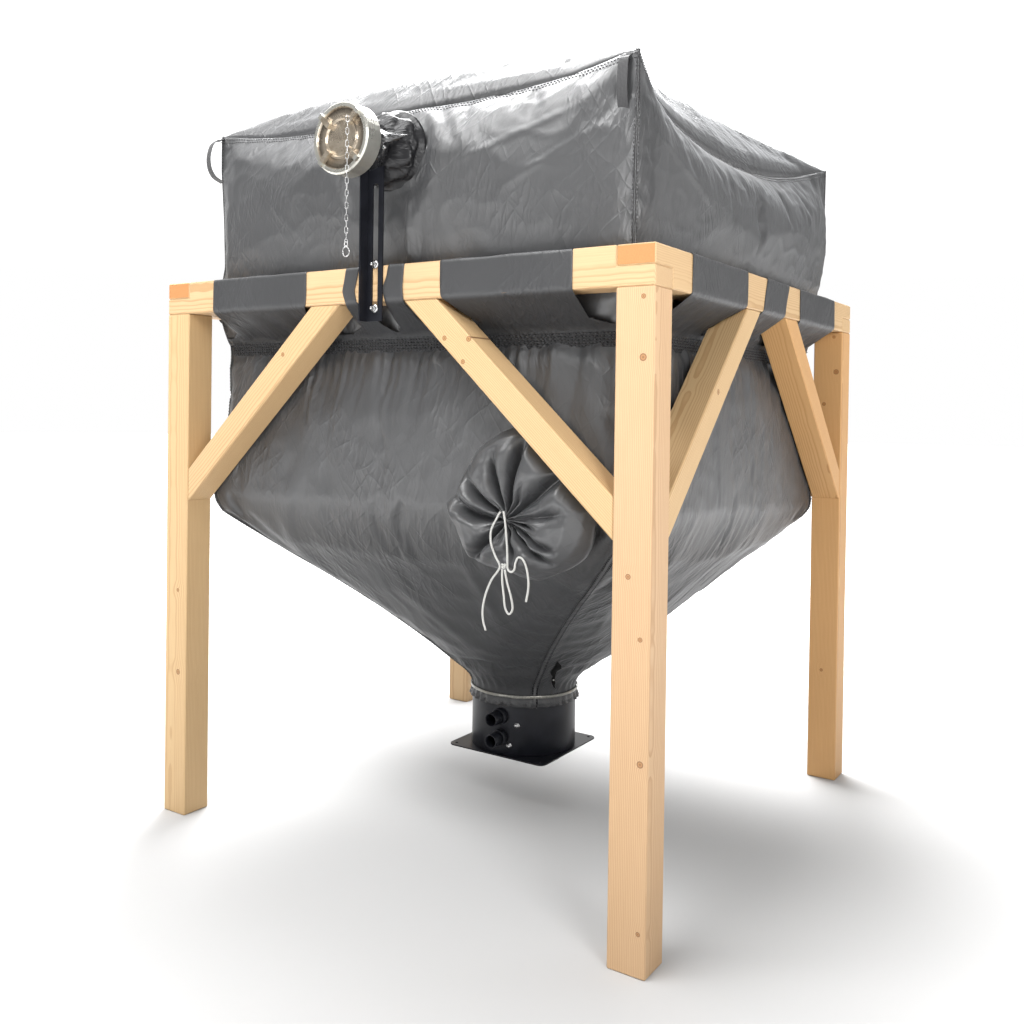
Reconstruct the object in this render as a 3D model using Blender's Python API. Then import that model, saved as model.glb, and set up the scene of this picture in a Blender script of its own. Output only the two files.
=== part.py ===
"""Fabric pellet silo: a woven bag with a hopper, hung in a square timber frame.

Metres, +Z up. The origin is on the floor, under the middle of the silo's whole length, so
the timber frame stands a little behind it and the filler pipe comes out of the front, at -Y.
Every piece is its own object, and pieces that touch keep a hair's gap. What repeats on the
four sides is built once in the front's frame, where x runs along the side and -y points
out, and is then turned about Z. Everything hangs on one empty at the frame's own centre.
"""

from math import atan2, copysign, cos, pi, radians, sin, sqrt

import bmesh
import bpy
from mathutils import Matrix, Vector

# Timber frame
FRAME_HEIGHT = 1.600
FRAME_SIDE = 1.592
TIMBER = 0.093
ARRIS = 0.003
TOUCH = 0.0003

HALF = FRAME_SIDE / 2
INNER = HALF - TIMBER
BEAM_BOTTOM = FRAME_HEIGHT - TIMBER
LAP = BEAM_BOTTOM + TIMBER / 2

# Knee braces, measured along the beam and down the post from their inner corner
BRACE_REACH = 0.595
BRACE_DROP = 0.560
BRACE_TOP_CUT = 0.102
BRACE_SET_BACK = 0.002
BRACE_DEPTH = TIMBER - 2 * BRACE_SET_BACK

# Bag
FABRIC = 0.004
BAG_TOP = 2.055
SEAM_HEIGHT = 1.415
BELLY = 0.045
BELLY_ARC = 0.9 * pi
TOP_BELLY = 0.012
EDGE_DIPS = (0.030, 0.125, 0.060, 0.115)
DIP_SKEW = 0.30
DIP_SPREAD = 4
ROOF_CROWN = 0.178
ROOF_SHOULDER = 0.42
COLUMNS = 10
ROOF_CELLS = COLUMNS

# Upper box: height and half width at the corners
UPPER_ROWS = (
    (SEAM_HEIGHT, 0.668),
    (1.430, 0.674),
    (1.500, 0.690),
    (FRAME_HEIGHT, 0.698),
    (1.680, 0.701),
    (1.780, 0.703),
    (1.880, 0.704),
    (1.980, 0.704),
    (BAG_TOP, 0.704),
)

# Lower body: height, half width at the corners, and roundness from square 0 to circle 1
NECK_RADIUS = 0.1704
NECK_HALF = NECK_RADIUS / sqrt(2)
LOWER_ROWS = (
    (SEAM_HEIGHT, 0.668, 0.0),
    (1.375, 0.666, 0.0),
    (1.250, 0.672, 0.04),
    (1.100, 0.682, 0.05),
    (0.980, 0.691, 0.03),
    (0.930, 0.685, 0.03),
    (0.880, 0.650, 0.08),
    (0.760, 0.512, 0.15),
    (0.640, 0.380, 0.30),
    (0.540, 0.272, 0.50),
    (0.475, 0.200, 0.75),
    (0.420, 0.153, 0.95),
    (0.375, NECK_HALF, 1.0),
    (0.318, NECK_HALF, 1.0),
)

# The filled bag stands a little askew. Height, and how far the left front, right front and
# right back corners stand out of their square there.
LEAN_ROWS = (
    (0.400, 0.0, 0.0, 0.0),
    (0.520, 0.0, -0.016, 0.035),
    (0.860, 0.0, -0.018, 0.030),
    (0.960, 0.0, 0.0, 0.004),
    (1.400, -0.004, 0.0, 0.008),
    (1.480, -0.006, 0.0, 0.004),
    (1.600, -0.012, 0.0, 0.002),
    (1.660, -0.016, 0.0, 0.016),
    (2.060, -0.016, 0.004, 0.022),
)
LEAN_CORNERS = ((-1, -1), (1, -1), (1, 1))

# Gathered band with the sleeves and straps that hang over the beams
STRAP_CLOTH = 0.0025
BAND_BOTTOM = 1.385
BAND_TOP = 1.430
BEAM_CLEARANCE = 0.0004

# The skirt from the band up to the beam's lower edge, as (out, height)
SKIRT_LINE = ((0.735, 1.466), (0.789, 1.500))
STRAP_END = INNER + 0.0015

# Edges of a tab along the side, at the beam top, at its bottom, on the skirt's two points and
# at the band
SLEEVE_EDGES = ((0.225, 0.594), (0.225, 0.594), (0.236, 0.600), (0.268, 0.622), (0.308, 0.645))
FRONT_STRAP_LEFT = (
    (-0.085, -0.028), (-0.090, -0.032), (-0.095, -0.030), (-0.100, -0.025), (-0.130, -0.012),
)
FRONT_STRAP_RIGHT = (
    (0.048, 0.106), (0.046, 0.103), (0.044, 0.101), (0.030, 0.102), (0.012, 0.130),
)
MIDDLE_STRAP = (
    (-0.065, 0.126), (-0.098, 0.085), (-0.100, 0.080), (-0.105, 0.085), (-0.130, 0.120),
)

# Which of a tab's five widths each row of the hanger's profile takes, from the band upwards
ROW_WIDTHS = (4, 4, 4, 3, 2, 1, 1, 0, 0, 0)
TAB_CELLS = 4
BAND_ROWS = 2

# Webbing loops at the top corners, in the upright plane through the corner
LOOP_WIDTH = 0.026
LOOP_CLOTH = 0.0025
LOOP_REACH = 0.045
LOOP_DROP = 0.125
LOOP_TOP = BAG_TOP - 0.012
LOOP_CORNERS = (("front_left", 5), ("front_right", 7), ("back_right", 1), ("back_left", 3))

# Filler: pipe, coupling and blind cap on an axis along Y
FILLER_Z = 1.905
PIPE_RADIUS = 0.050
PIPE_BORE = 0.047
PIPE_END = -0.868
PIPE_INNER_END = -0.655
CAP_RADIUS = 0.0905
CAP_FACE = -0.921
CAP_BACK = -0.866
CAP_WALL = 0.005
CAP_INSIDE = 0.043
CAP_RIM = (0.074, 0.078)
CAP_GROOVE = (0.052, 0.056)
CAP_DISC = 0.044
CAP_STEP = 0.005
COUPLING_BACK = -0.852
COUPLING_DEPTH = 0.056
COUPLING_DRUM = 0.016
COUPLING_HUB = 0.010
LUG_HEIGHT = 0.008
LUG_WIDTH = 0.014
LUG_INNER = 0.044
LUG_OUTER = 0.087
COLLAR_START = -HALF + TOUCH
COLLAR_RADIUS = 0.098
COLLAR_NECK = (0.056, 0.060, 0.070, 0.080, 0.094)

# Chain from the cap's lug
CHAIN_RADIUS = 0.0035
CHAIN_X = 0.036
CHAIN_TOP = 1.941
CHAIN_BOTTOM = 1.606

# Slotted angle that holds the filler pipe on the front beam
ANGLE_LEFT = -0.012
ANGLE_RIGHT = 0.043
ANGLE_LEG = 0.032
ANGLE_WALL = 0.004
ANGLE_BOTTOM = 1.457
SLOT_WIDTH = 0.019
SLOT_X = 0.0185
SLOT_BOTTOM = 1.478
SLOT_TOP = 1.812
PIPE_CLIP_WALL = 0.004
PIPE_CLIP_WIDTH = 0.026

# Outlet
HOUSING_RADIUS = 0.1660
HOUSING_WALL = 0.003
HOUSING_TOP = 0.385
PLATE_BOTTOM = 0.160
PLATE_SIDE = 0.350
PLATE_THICKNESS = 0.004
PLATE_CORNER = 0.022
PLATE_HOLE = 0.0055
PLATE_HOLE_INSET = 0.020
STUB_X = 0.018
STUB_HEIGHTS = (0.2185, 0.2845)
STUB_RADIUS = 0.019
STUB_BORE = 0.0165
STUB_END = -0.224
STUB_START = -0.154
STUB_SEGMENTS = 16
BOSS_RADIUS = 0.0245
BOSS_END = -0.184
CLAMP_BOTTOM = 0.341
CLAMP_TOP = 0.356
CLAMP_THICKNESS = 0.002

# Inspection sleeve on the lower front, and its drawstring
SLEEVE_X = 0.378
SLEEVE_Z = 0.985
SLEEVE_HALF_WIDTH = 0.200
SLEEVE_HALF_HEIGHT = 0.160
SLEEVE_SEAT = 0.60
SLEEVE_SEGMENTS = 28

# Rings of the sleeve from its seat to the tuft: size against the whole, and how far out
SLEEVE_RINGS = (
    (SLEEVE_SEAT, 0.0),
    (0.93, 0.010),
    (1.00, 0.030),
    (0.92, 0.048),
    (0.70, 0.060),
    (0.36, 0.062),
    (0.18, 0.052),
    (0.10, 0.058),
)
TUFT_SIZE = 0.14
TUFT_X = 0.400
TUFT_Z = 0.990
TUFT_FRONT = -0.774
CORD_RADIUS = 0.0025
KNOT_X = 0.408
KNOT_Z = 0.861
KNOT_RADIUS = 0.008
CORD_Y = TUFT_FRONT - CORD_RADIUS - TOUCH

# Routes of the drawstring as (x, z) in the upright plane in front of the sleeve
CORD_LEFT = ((0.397, 0.990), (0.386, 0.972), (0.372, 0.945), (0.371, 0.915), (0.383, 0.885),
             (0.3974, 0.861), (0.391, 0.846), (0.373, 0.822), (0.357, 0.785), (0.350, 0.750),
             (0.352, 0.722), (0.360, 0.700))
CORD_RIGHT = ((0.406, 0.992), (0.411, 0.965), (0.415, 0.930), (0.418, 0.895), (0.4195, 0.866),
              (0.4215, 0.854), (0.430, 0.8485), (0.4385, 0.856), (0.441, 0.871), (0.449, 0.885),
              (0.463, 0.880), (0.474, 0.855), (0.478, 0.820), (0.472, 0.783))
CORD_LOOP = ((0.4045, 0.8527), (0.405, 0.825), (0.410, 0.790), (0.414, 0.762), (0.425, 0.748),
             (0.435, 0.762), (0.430, 0.790), (0.419, 0.822), (0.4115, 0.8527))

# The frame's centre lies behind the origin by half of what the filler stands out
FRONT_REACH = LUG_HEIGHT - CAP_FACE + 2 * CHAIN_RADIUS + 2 * TOUCH
BACK_REACH = HALF + BEAM_CLEARANCE + STRAP_CLOTH
FRAME_Y = (FRONT_REACH - BACK_REACH) / 2

SIDES = ("front", "right", "back", "left")
SIDE_ENDS = (("left", "right"), ("front", "back"), ("right", "left"), ("back", "front"))


# Materials

def material(name, colour, roughness, metallic=0.0):
    made = bpy.data.materials.new(name)
    made.use_nodes = True
    shader = made.node_tree.nodes["Principled BSDF"]
    shader.inputs["Base Color"].default_value = (*colour, 1.0)
    shader.inputs["Roughness"].default_value = roughness
    shader.inputs["Metallic"].default_value = metallic
    return made


def make_materials():
    return {
        "spruce": material("spruce", (0.72, 0.52, 0.30), 0.6),
        "fabric": material("woven_polyester", (0.10, 0.10, 0.11), 0.55),
        "webbing": material("webbing", (0.09, 0.09, 0.10), 0.7),
        "black steel": material("black_steel", (0.012, 0.013, 0.018), 0.35),
        "aluminium": material("cast_aluminium", (0.72, 0.70, 0.66), 0.3, 1.0),
        "zinc": material("zinc_plated_steel", (0.70, 0.70, 0.68), 0.35, 1.0),
        "cord": material("drawstring_cord", (0.62, 0.62, 0.58), 0.8),
    }


# Building blocks

def clear_scene():
    for thing in list(bpy.data.objects):
        bpy.data.objects.remove(thing, do_unlink=True)


def place(thing):
    """Hangs a piece on the frame's centre."""
    centre = bpy.data.objects.get("frame_centre")
    if centre is None:
        centre = bpy.data.objects.new("frame_centre", None)
        centre.location = (0, FRAME_Y, 0)
        bpy.context.scene.collection.objects.link(centre)
    thing.parent = centre
    bpy.context.scene.collection.objects.link(thing)
    return thing


def finish(name, mesh_data, look, side=0, location=(0, 0, 0), rotation=None):
    bmesh.ops.remove_doubles(mesh_data, verts=mesh_data.verts, dist=0.000001)
    bmesh.ops.recalc_face_normals(mesh_data, faces=mesh_data.faces)
    mesh = bpy.data.meshes.new(name)
    mesh_data.to_mesh(mesh)
    mesh_data.free()
    mesh.materials.append(look)
    thing = bpy.data.objects.new(name, mesh)
    thing.location = location
    thing.rotation_euler = rotation or (0, 0, side * pi / 2)
    return place(thing)


def prism(outline, low, high, stand):
    """A closed prism on a flat outline; stand turns (a, b, height) into x, y, z."""
    made = bmesh.new()
    bottom = [made.verts.new(stand(a, b, low)) for a, b in outline]
    top = [made.verts.new(stand(a, b, high)) for a, b in outline]
    made.faces.new(bottom)
    made.faces.new(top)
    for i in range(len(outline)):
        j = (i + 1) % len(outline)
        made.faces.new((bottom[i], bottom[j], top[j], top[i]))
    return made


def upright(a, b, height):
    return (a, b, height)


def along_y(a, b, height):
    return (a, height, b)


def soften(thing, width=ARRIS):
    bevel = thing.modifiers.new("soft_arris", "BEVEL")
    bevel.width = width
    bevel.segments = 1
    bevel.limit_method = "ANGLE"
    bevel.angle_limit = radians(40)


def lathe(profile, segments, ring=True):
    """Turns a profile of (radius, height) points about Z. A ring profile is a closed loop
    off the axis, and any other starts and ends on the axis."""
    made = bmesh.new()
    columns = []
    for step in range(segments):
        angle = 2 * pi * step / segments
        columns.append([made.verts.new((r * cos(angle), r * sin(angle), h)) for r, h in profile])
    spans = len(profile) if ring else len(profile) - 1
    for step in range(segments):
        here = columns[step]
        there = columns[(step + 1) % segments]
        for i in range(spans):
            j = (i + 1) % len(profile)
            corners = [here[i], here[j], there[j], there[i]]
            if not ring and profile[i][0] == 0:
                corners = [here[i], here[j], there[j]]
            if not ring and profile[j][0] == 0:
                corners = [here[i], here[j], there[i]]
            made.faces.new(corners)
    return made


def shade_round(thing):
    thing.data.shade_smooth()
    thing.data.set_sharp_from_angle(angle=radians(35))


def combine(target, tool, operation):
    """Joins or cuts target with tool, which stays only as a guide."""
    tool.hide_render = True
    tool.display_type = "WIRE"
    step = target.modifiers.new(tool.name, "BOOLEAN")
    step.operation = operation
    step.solver = "EXACT"
    step.object = tool


def shell(outer, inner, keep=None):
    """A closed sheet between two grids of points; keep(row, column) picks its cells."""
    made = bmesh.new()
    rows = len(outer) - 1
    columns = len(outer[0]) - 1
    used = {}

    def corner(layer, row, column):
        key = (layer, row, column)
        if key not in used:
            used[key] = made.verts.new((outer, inner)[layer][row][column])
        return used[key]

    def kept(row, column):
        inside = 0 <= row < rows and 0 <= column < columns
        return inside and (keep is None or keep(row, column))

    for row in range(rows):
        for column in range(columns):
            if not kept(row, column):
                continue
            cell = [(row, column), (row, column + 1), (row + 1, column + 1), (row + 1, column)]
            beyond = [(row - 1, column), (row, column + 1), (row + 1, column), (row, column - 1)]
            made.faces.new([corner(0, *at) for at in cell])
            made.faces.new([corner(1, *at) for at in reversed(cell)])
            for i in range(4):
                if not kept(*beyond[i]):
                    a, b = cell[i], cell[(i + 1) % 4]
                    made.faces.new((corner(0, *a), corner(1, *a), corner(1, *b), corner(0, *b)))
    bmesh.ops.triangulate(made, faces=made.faces)
    return made


# Timber frame

def post_outline(x, y):
    return [(x, y), (x + TIMBER, y), (x + TIMBER, y + TIMBER), (x, y + TIMBER)]


def build_posts(look):
    for end_x, x in (("left", -HALF), ("right", INNER)):
        for end_y, y in (("front", -HALF), ("back", INNER)):
            body = prism(post_outline(x, y), 0, BEAM_BOTTOM - TOUCH, upright)
            soften(finish(f"post_{end_y}_{end_x}", body, look))


def lapped_outline(low_reach, high_reach):
    """Side view of a beam whose lower and upper halves run to different lengths."""
    step = LAP - TOUCH / 2 if low_reach > high_reach else LAP + TOUCH / 2
    right = [(low_reach, BEAM_BOTTOM), (low_reach, step), (high_reach, step),
             (high_reach, FRAME_HEIGHT)]
    return right + [(-x, z) for x, z in reversed(right)]


def build_beams(look):
    short = INNER - TOUCH
    for side, name in enumerate(SIDES):
        crosswise = side % 2 == 0
        outline = lapped_outline(HALF, short) if crosswise else lapped_outline(short, HALF)
        soften(finish(f"beam_{name}", prism(outline, -HALF, -INNER, along_y), look, side))


def brace_outline(hand):
    top = BEAM_BOTTOM - TOUCH
    plumb_cut = BRACE_TOP_CUT * BRACE_DROP / BRACE_REACH
    start = INNER - TOUCH
    foot = BEAM_BOTTOM - BRACE_DROP
    points = [
        (start, foot),
        (start, foot + plumb_cut),
        (INNER - BRACE_REACH + BRACE_TOP_CUT, top),
        (INNER - BRACE_REACH, top),
    ]
    return [(hand * x, z) for x, z in points]


def build_braces(look):
    front = -HALF + BRACE_SET_BACK
    for side, name in enumerate(SIDES):
        for hand, end in zip((-1, 1), SIDE_ENDS[side]):
            body = prism(brace_outline(hand), front, front + BRACE_DEPTH, along_y)
            soften(finish(f"brace_{name}_{end}", body, look, side))


# Bag

def spread(count):
    """Even steps from -1 to 1."""
    return [2 * i / count - 1 for i in range(count + 1)]


def rise(height):
    """0 at the beam top, 1 at the bag's top edge."""
    return max(0.0, (height - FRAME_HEIGHT) / (BAG_TOP - FRAME_HEIGHT))


def between(rows, height):
    """The values of a table of rows at a height, read straight between its rows."""
    for low, high in zip(rows, rows[1:]):
        if height <= high[0]:
            share = max(0.0, (height - low[0]) / (high[0] - low[0]))
            return [a + (b - a) * share for a, b in zip(low[1:], high[1:])]
    return list(rows[-1][1:])


def lean(point, half, side=0):
    """Moves a point of the bag as its corners stand out; side says which face it is built for."""
    turn = Matrix.Rotation(side * pi / 2, 3, "Z")
    placed = turn @ point
    moved = placed.copy()
    for (x, y), out in zip(LEAN_CORNERS, between(LEAN_ROWS, point.z)):
        near_x = (1 + x * max(-1, min(1, placed.x / half))) / 2
        near_y = (1 + y * max(-1, min(1, placed.y / half))) / 2
        moved += Vector((x, y, 0)) * out * near_x * near_y
    return turn.transposed() @ moved


def dip(side, u):
    """How far the roof's seam sags at a place along a side, deepest before its middle."""
    return EDGE_DIPS[side] * (1 - u * u) * (1 - DIP_SKEW * u)


def upper_point(height, half, u, side=0):
    """A point of the upper box's front face; u runs from corner to corner."""
    share = rise(height)
    swell = (BELLY * sin(BELLY_ARC * share) + TOP_BELLY * share ** 3) * (1 - u * u)
    return Vector((u * half, -half - swell, height - dip(side, u) * share ** 2))


def upper_grids(side):
    outer = [[upper_point(z, half, u, side) for u in spread(COLUMNS)] for z, half in UPPER_ROWS]
    inner = [inward(row, half) for row, (_, half) in zip(outer, UPPER_ROWS)]
    inner[-1] = [p - Vector((0, 0, FABRIC)) for p in inner[-1]]
    for grid in (outer, inner):
        for row, (_, half) in zip(grid, UPPER_ROWS):
            row[:] = [lean(p, half, side) for p in row]
    return outer, inner


def inward(row, reach):
    """The same row on the inside of the cloth, on the same corner planes."""
    shrink = 1 - FABRIC / reach
    return [Vector((p.x * shrink, p.y * shrink, p.z)) for p in row]


def part_corners(grid):
    """Leaves a hair's gap to the next panel at both ends of every row."""
    for row in grid:
        row[0].x += TOUCH
        row[-1].x -= TOUCH


def build_upper_panels(look):
    for side, name in enumerate(SIDES):
        outer, inner = upper_grids(side)
        for grid in (outer, inner):
            part_corners(grid)
            for i in range(COLUMNS + 1):
                grid[0][i].z += TOUCH
        panel = finish(f"bag_upper_{name}", shell(outer, inner), look, side)
        if name == "front":
            bore = lathe([(0, -0.1), (PIPE_RADIUS + TOUCH, -0.1), (PIPE_RADIUS + TOUCH, 0.1), (0, 0.1)],
                         32, ring=False)
            tool = finish("filler_hole", bore, look, location=(0, -INNER, FILLER_Z),
                          rotation=(pi / 2, 0, 0))
            combine(panel, tool, "DIFFERENCE")


def lower_point(height, half, roundness, turn):
    """A point of the lower front face; turn is its angle from the front's middle."""
    reach = (1 - roundness) * half / cos(turn) + roundness * half * sqrt(2)
    return Vector((reach * sin(turn), -reach * cos(turn), height))


def build_lower_panels(look):
    turns = [u * pi / 4 for u in spread(COLUMNS)]
    for side, name in enumerate(SIDES):
        outer = [[lower_point(z, half, roundness, turn) for turn in turns]
                 for z, half, roundness in LOWER_ROWS]
        inner = [inward(row, -row[COLUMNS // 2].y) for row in outer]
        for grid in (outer, inner):
            for row, (_, half, _) in zip(grid, LOWER_ROWS):
                row[:] = [lean(p, half, side) for p in row]
            part_corners(grid)
        finish(f"bag_lower_{name}", shell(outer, inner), look, side)


def roof_point(u, v):
    """The roof's seam follows the upper panels' top edges, and the roof swells above it."""
    half = UPPER_ROWS[-1][1]
    x = u * -upper_point(BAG_TOP, half, v).y
    y = v * -upper_point(BAG_TOP, half, u).y
    sag = 0
    for side, (along, out) in enumerate(((u, -v), (v, u), (-u, v), (-v, -u))):
        sag += dip(side, along) * ((1 + out) / 2) ** DIP_SPREAD
    crown = ROOF_CROWN * ((1 - u * u) * (1 - v * v)) ** ROOF_SHOULDER
    return Vector((x, y, BAG_TOP - sag + crown))


def build_roof(look):
    steps = spread(ROOF_CELLS)
    half = UPPER_ROWS[-1][1]
    shrink = 1 - FABRIC / half
    outer = [[roof_point(u, v) for u in steps] for v in steps]
    inner = [[Vector((p.x * shrink, p.y * shrink, p.z - FABRIC)) for p in row] for row in outer]
    lift = Vector((0, 0, TOUCH))
    for grid in (outer, inner):
        grid[:] = [[lean(p, half) + lift for p in row] for row in grid]
    finish("bag_roof", shell(outer, inner), look)


# Gathered band, sleeves and straps

def wall_half(height):
    """Half width of the bag near the band."""
    return between(sorted([*UPPER_ROWS, *((z, half) for z, half, _ in LOWER_ROWS[1:4])]), height)[0]


def hanger_profile():
    """Inner line of the cloth, as (out, height), from the band up and over the beam."""
    face = HALF + BEAM_CLEARANCE
    top = FRAME_HEIGHT + BEAM_CLEARANCE
    below = BEAM_BOTTOM - BEAM_CLEARANCE
    gap = 2 * TOUCH
    return [
        (wall_half(BAND_BOTTOM) + gap, BAND_BOTTOM),
        (wall_half(SEAM_HEIGHT) + gap, SEAM_HEIGHT),
        (wall_half(BAND_TOP) + gap, BAND_TOP),
        *SKIRT_LINE,
        (face, below),
        (face, (below + top) / 2),
        (face, top),
        ((HALF + STRAP_END) / 2, top),
        (STRAP_END, top),
    ]


def offset_line(line, distance):
    """Moves a line of (out, height) points outwards, with mitred corners."""
    moved = []
    for i, point in enumerate(line):
        before = line[max(i - 1, 0)]
        after = line[min(i + 1, len(line) - 1)]
        first = Vector(point) - Vector(before) if i else Vector(after) - Vector(point)
        second = Vector(after) - Vector(point) if i < len(line) - 1 else first
        normals = [Vector((d.y, -d.x)).normalized() for d in (first, second)]
        middle = (normals[0] + normals[1]).normalized()
        moved.append(Vector(point) + middle * distance / max(middle.dot(normals[0]), 0.3))
    return moved


def mirrored(edges):
    return tuple((-b, -a) for a, b in edges)


def hanger_grid(tabs, line, side):
    """Columns: each tab's cells, with one free cell between tabs. The band leans with the bag."""
    grid = []
    for row, (out, height) in enumerate(line):
        columns = []
        for edges in tabs:
            a, b = edges[ROW_WIDTHS[row]]
            columns += [a + (b - a) * i / TAB_CELLS for i in range(TAB_CELLS + 1)]
        points = [Vector((x, -out, height)) for x in columns]
        if row <= BAND_ROWS:
            points = [lean(p, wall_half(height), side) for p in points]
        grid.append(points)
    return grid


def build_hangers(look):
    inner_line = hanger_profile()
    outer_line = offset_line(inner_line, STRAP_CLOTH)

    def in_hanger(row, column):
        return row < BAND_ROWS or column % (TAB_CELLS + 1) < TAB_CELLS

    for side, name in enumerate(SIDES):
        middle = [FRONT_STRAP_LEFT, FRONT_STRAP_RIGHT] if name == "front" else [MIDDLE_STRAP]
        tabs = [mirrored(SLEEVE_EDGES)] + middle + [SLEEVE_EDGES]
        outer = hanger_grid(tabs, outer_line, side)
        inner = hanger_grid(tabs, inner_line, side)
        finish(f"hanger_{name}", shell(outer, inner, in_hanger), look, side)


def loop_outline(reach, drop, top):
    """A D shape against the corner's seam, as (away from the corner, height)."""
    points = [(0, top)]
    for step in range(1, 8):
        angle = pi * step / 8
        points.append((reach * sin(angle), top - drop * (1 - cos(angle)) / 2))
    points.append((0, top - drop))
    return points


def build_loops(look):
    half = UPPER_ROWS[-1][1]
    corner = half * sqrt(2)
    outer = loop_outline(LOOP_REACH, LOOP_DROP, LOOP_TOP)
    wall = 2 * LOOP_CLOTH
    inner = loop_outline(LOOP_REACH - wall, LOOP_DROP - wall, LOOP_TOP - LOOP_CLOTH)
    inner = [(away + LOOP_CLOTH, height) for away, height in inner]
    ring = []
    for line in (outer, inner):
        ring.append([[Vector((a + corner + 2 * TOUCH, across, h)) for a, h in line]
                     for across in (-LOOP_WIDTH / 2, LOOP_WIDTH / 2)])
    for name, eighths in LOOP_CORNERS:
        body = bmesh.new()
        corners = [[[body.verts.new(p) for p in edge] for edge in wall] for wall in ring]
        count = len(outer)
        for i in range(count):
            j = (i + 1) % count
            (out_a, out_b), (in_a, in_b) = corners
            body.faces.new((out_a[i], out_a[j], out_b[j], out_b[i]))
            body.faces.new((in_a[i], in_b[i], in_b[j], in_a[j]))
            body.faces.new((out_a[i], in_a[i], in_a[j], out_a[j]))
            body.faces.new((out_b[i], out_b[j], in_b[j], in_b[i]))
        angle = eighths * pi / 4
        seam = Vector((copysign(half, cos(angle)), copysign(half, sin(angle)), LOOP_TOP))
        moved = lean(seam, half) - seam
        finish(f"lifting_loop_{name}", body, look, location=moved, rotation=(0, 0, angle))


# Filler

def on_filler(y):
    """Placing for a piece turned about Z whose height then points out of the front."""
    return {"location": (0, y, FILLER_Z), "rotation": (pi / 2, 0, 0)}


def build_filler(steel, aluminium, fabric):
    length = PIPE_INNER_END - PIPE_END
    pipe = [(PIPE_BORE, 0), (PIPE_RADIUS, 0), (PIPE_RADIUS, length), (PIPE_BORE, length)]
    shade_round(finish("filler_pipe", lathe(pipe, 32), steel, **on_filler(PIPE_INNER_END)))

    seat = PIPE_RADIUS + TOUCH
    drum = CAP_RADIUS - CAP_WALL - 0.001
    hub = seat + COUPLING_HUB
    coupling = [(seat, 0), (hub, 0), (hub + 0.002, COUPLING_DRUM - 0.004), (drum, COUPLING_DRUM),
                (drum, COUPLING_DEPTH - 0.004), (hub, COUPLING_DEPTH), (seat, COUPLING_DEPTH)]
    shade_round(finish("filler_coupling", lathe(coupling, 40), aluminium, **on_filler(COUPLING_BACK)))

    depth = CAP_BACK - CAP_FACE
    inside = CAP_RADIUS - CAP_WALL
    floor = depth - CAP_STEP - 0.001
    cap = [(0, CAP_INSIDE), (inside, CAP_INSIDE), (inside, 0), (CAP_RADIUS - 0.002, 0),
           (CAP_RADIUS, 0.003), (CAP_RADIUS, depth - 0.004), (CAP_RADIUS - 0.004, depth),
           (CAP_RIM[1], depth), (CAP_RIM[0], floor), (CAP_GROOVE[1], floor),
           (CAP_GROOVE[0], floor + CAP_STEP), (CAP_DISC + 0.004, floor + CAP_STEP), (CAP_DISC, floor),
           (0, floor)]
    body = finish("filler_cap", lathe(cap, 40, ring=False), aluminium, **on_filler(CAP_BACK))
    lugs = bmesh.new()
    for quarter in range(4):
        turn = Matrix.Rotation(pi / 4 + quarter * pi / 2, 4, "Z")
        middle = Matrix.Translation(((LUG_INNER + LUG_OUTER) / 2, 0, depth - 0.004 + LUG_HEIGHT / 2))
        size = Matrix.Diagonal((LUG_OUTER - LUG_INNER, LUG_WIDTH, LUG_HEIGHT + 0.008, 1))
        bmesh.ops.create_cube(lugs, size=1, matrix=turn @ middle @ size)
    combine(body, finish("cap_lugs", lugs, aluminium, **on_filler(CAP_BACK)), "UNION")

    panel_front = max(-lean(upper_point(z, half, 0), half).y for z, half in UPPER_ROWS)
    start = -panel_front - 2 * TOUCH
    depth = start - COLLAR_START
    tip, neck, throat, shoulder, swell = COLLAR_NECK
    collar = [(seat, 0), (COLLAR_RADIUS, 0), (swell, 0.016), (shoulder, 0.026), (throat, depth - 0.010),
              (neck, depth - 0.002), (tip, depth), (seat, depth)]
    shade_round(finish("filler_collar", lathe(collar, 32), fabric, **on_filler(start)))


def build_chain(look):
    front = CAP_FACE - LUG_HEIGHT
    y = front - CHAIN_RADIUS - 2 * TOUCH
    steps = 24
    route = [(CHAIN_X, y, CHAIN_TOP + (CHAIN_BOTTOM - CHAIN_TOP) * i / steps) for i in range(steps + 1)]
    tube("cap_chain", route, CHAIN_RADIUS, look)


def rounded_slot(x, low, high, width, steps=6):
    radius = width / 2
    top = [(x + radius * cos(pi * i / steps), high - radius + radius * sin(pi * i / steps))
           for i in range(steps + 1)]
    bottom = [(x - radius * cos(pi * i / steps), low + radius - radius * sin(pi * i / steps))
              for i in range(steps + 1)]
    return top + bottom


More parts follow.
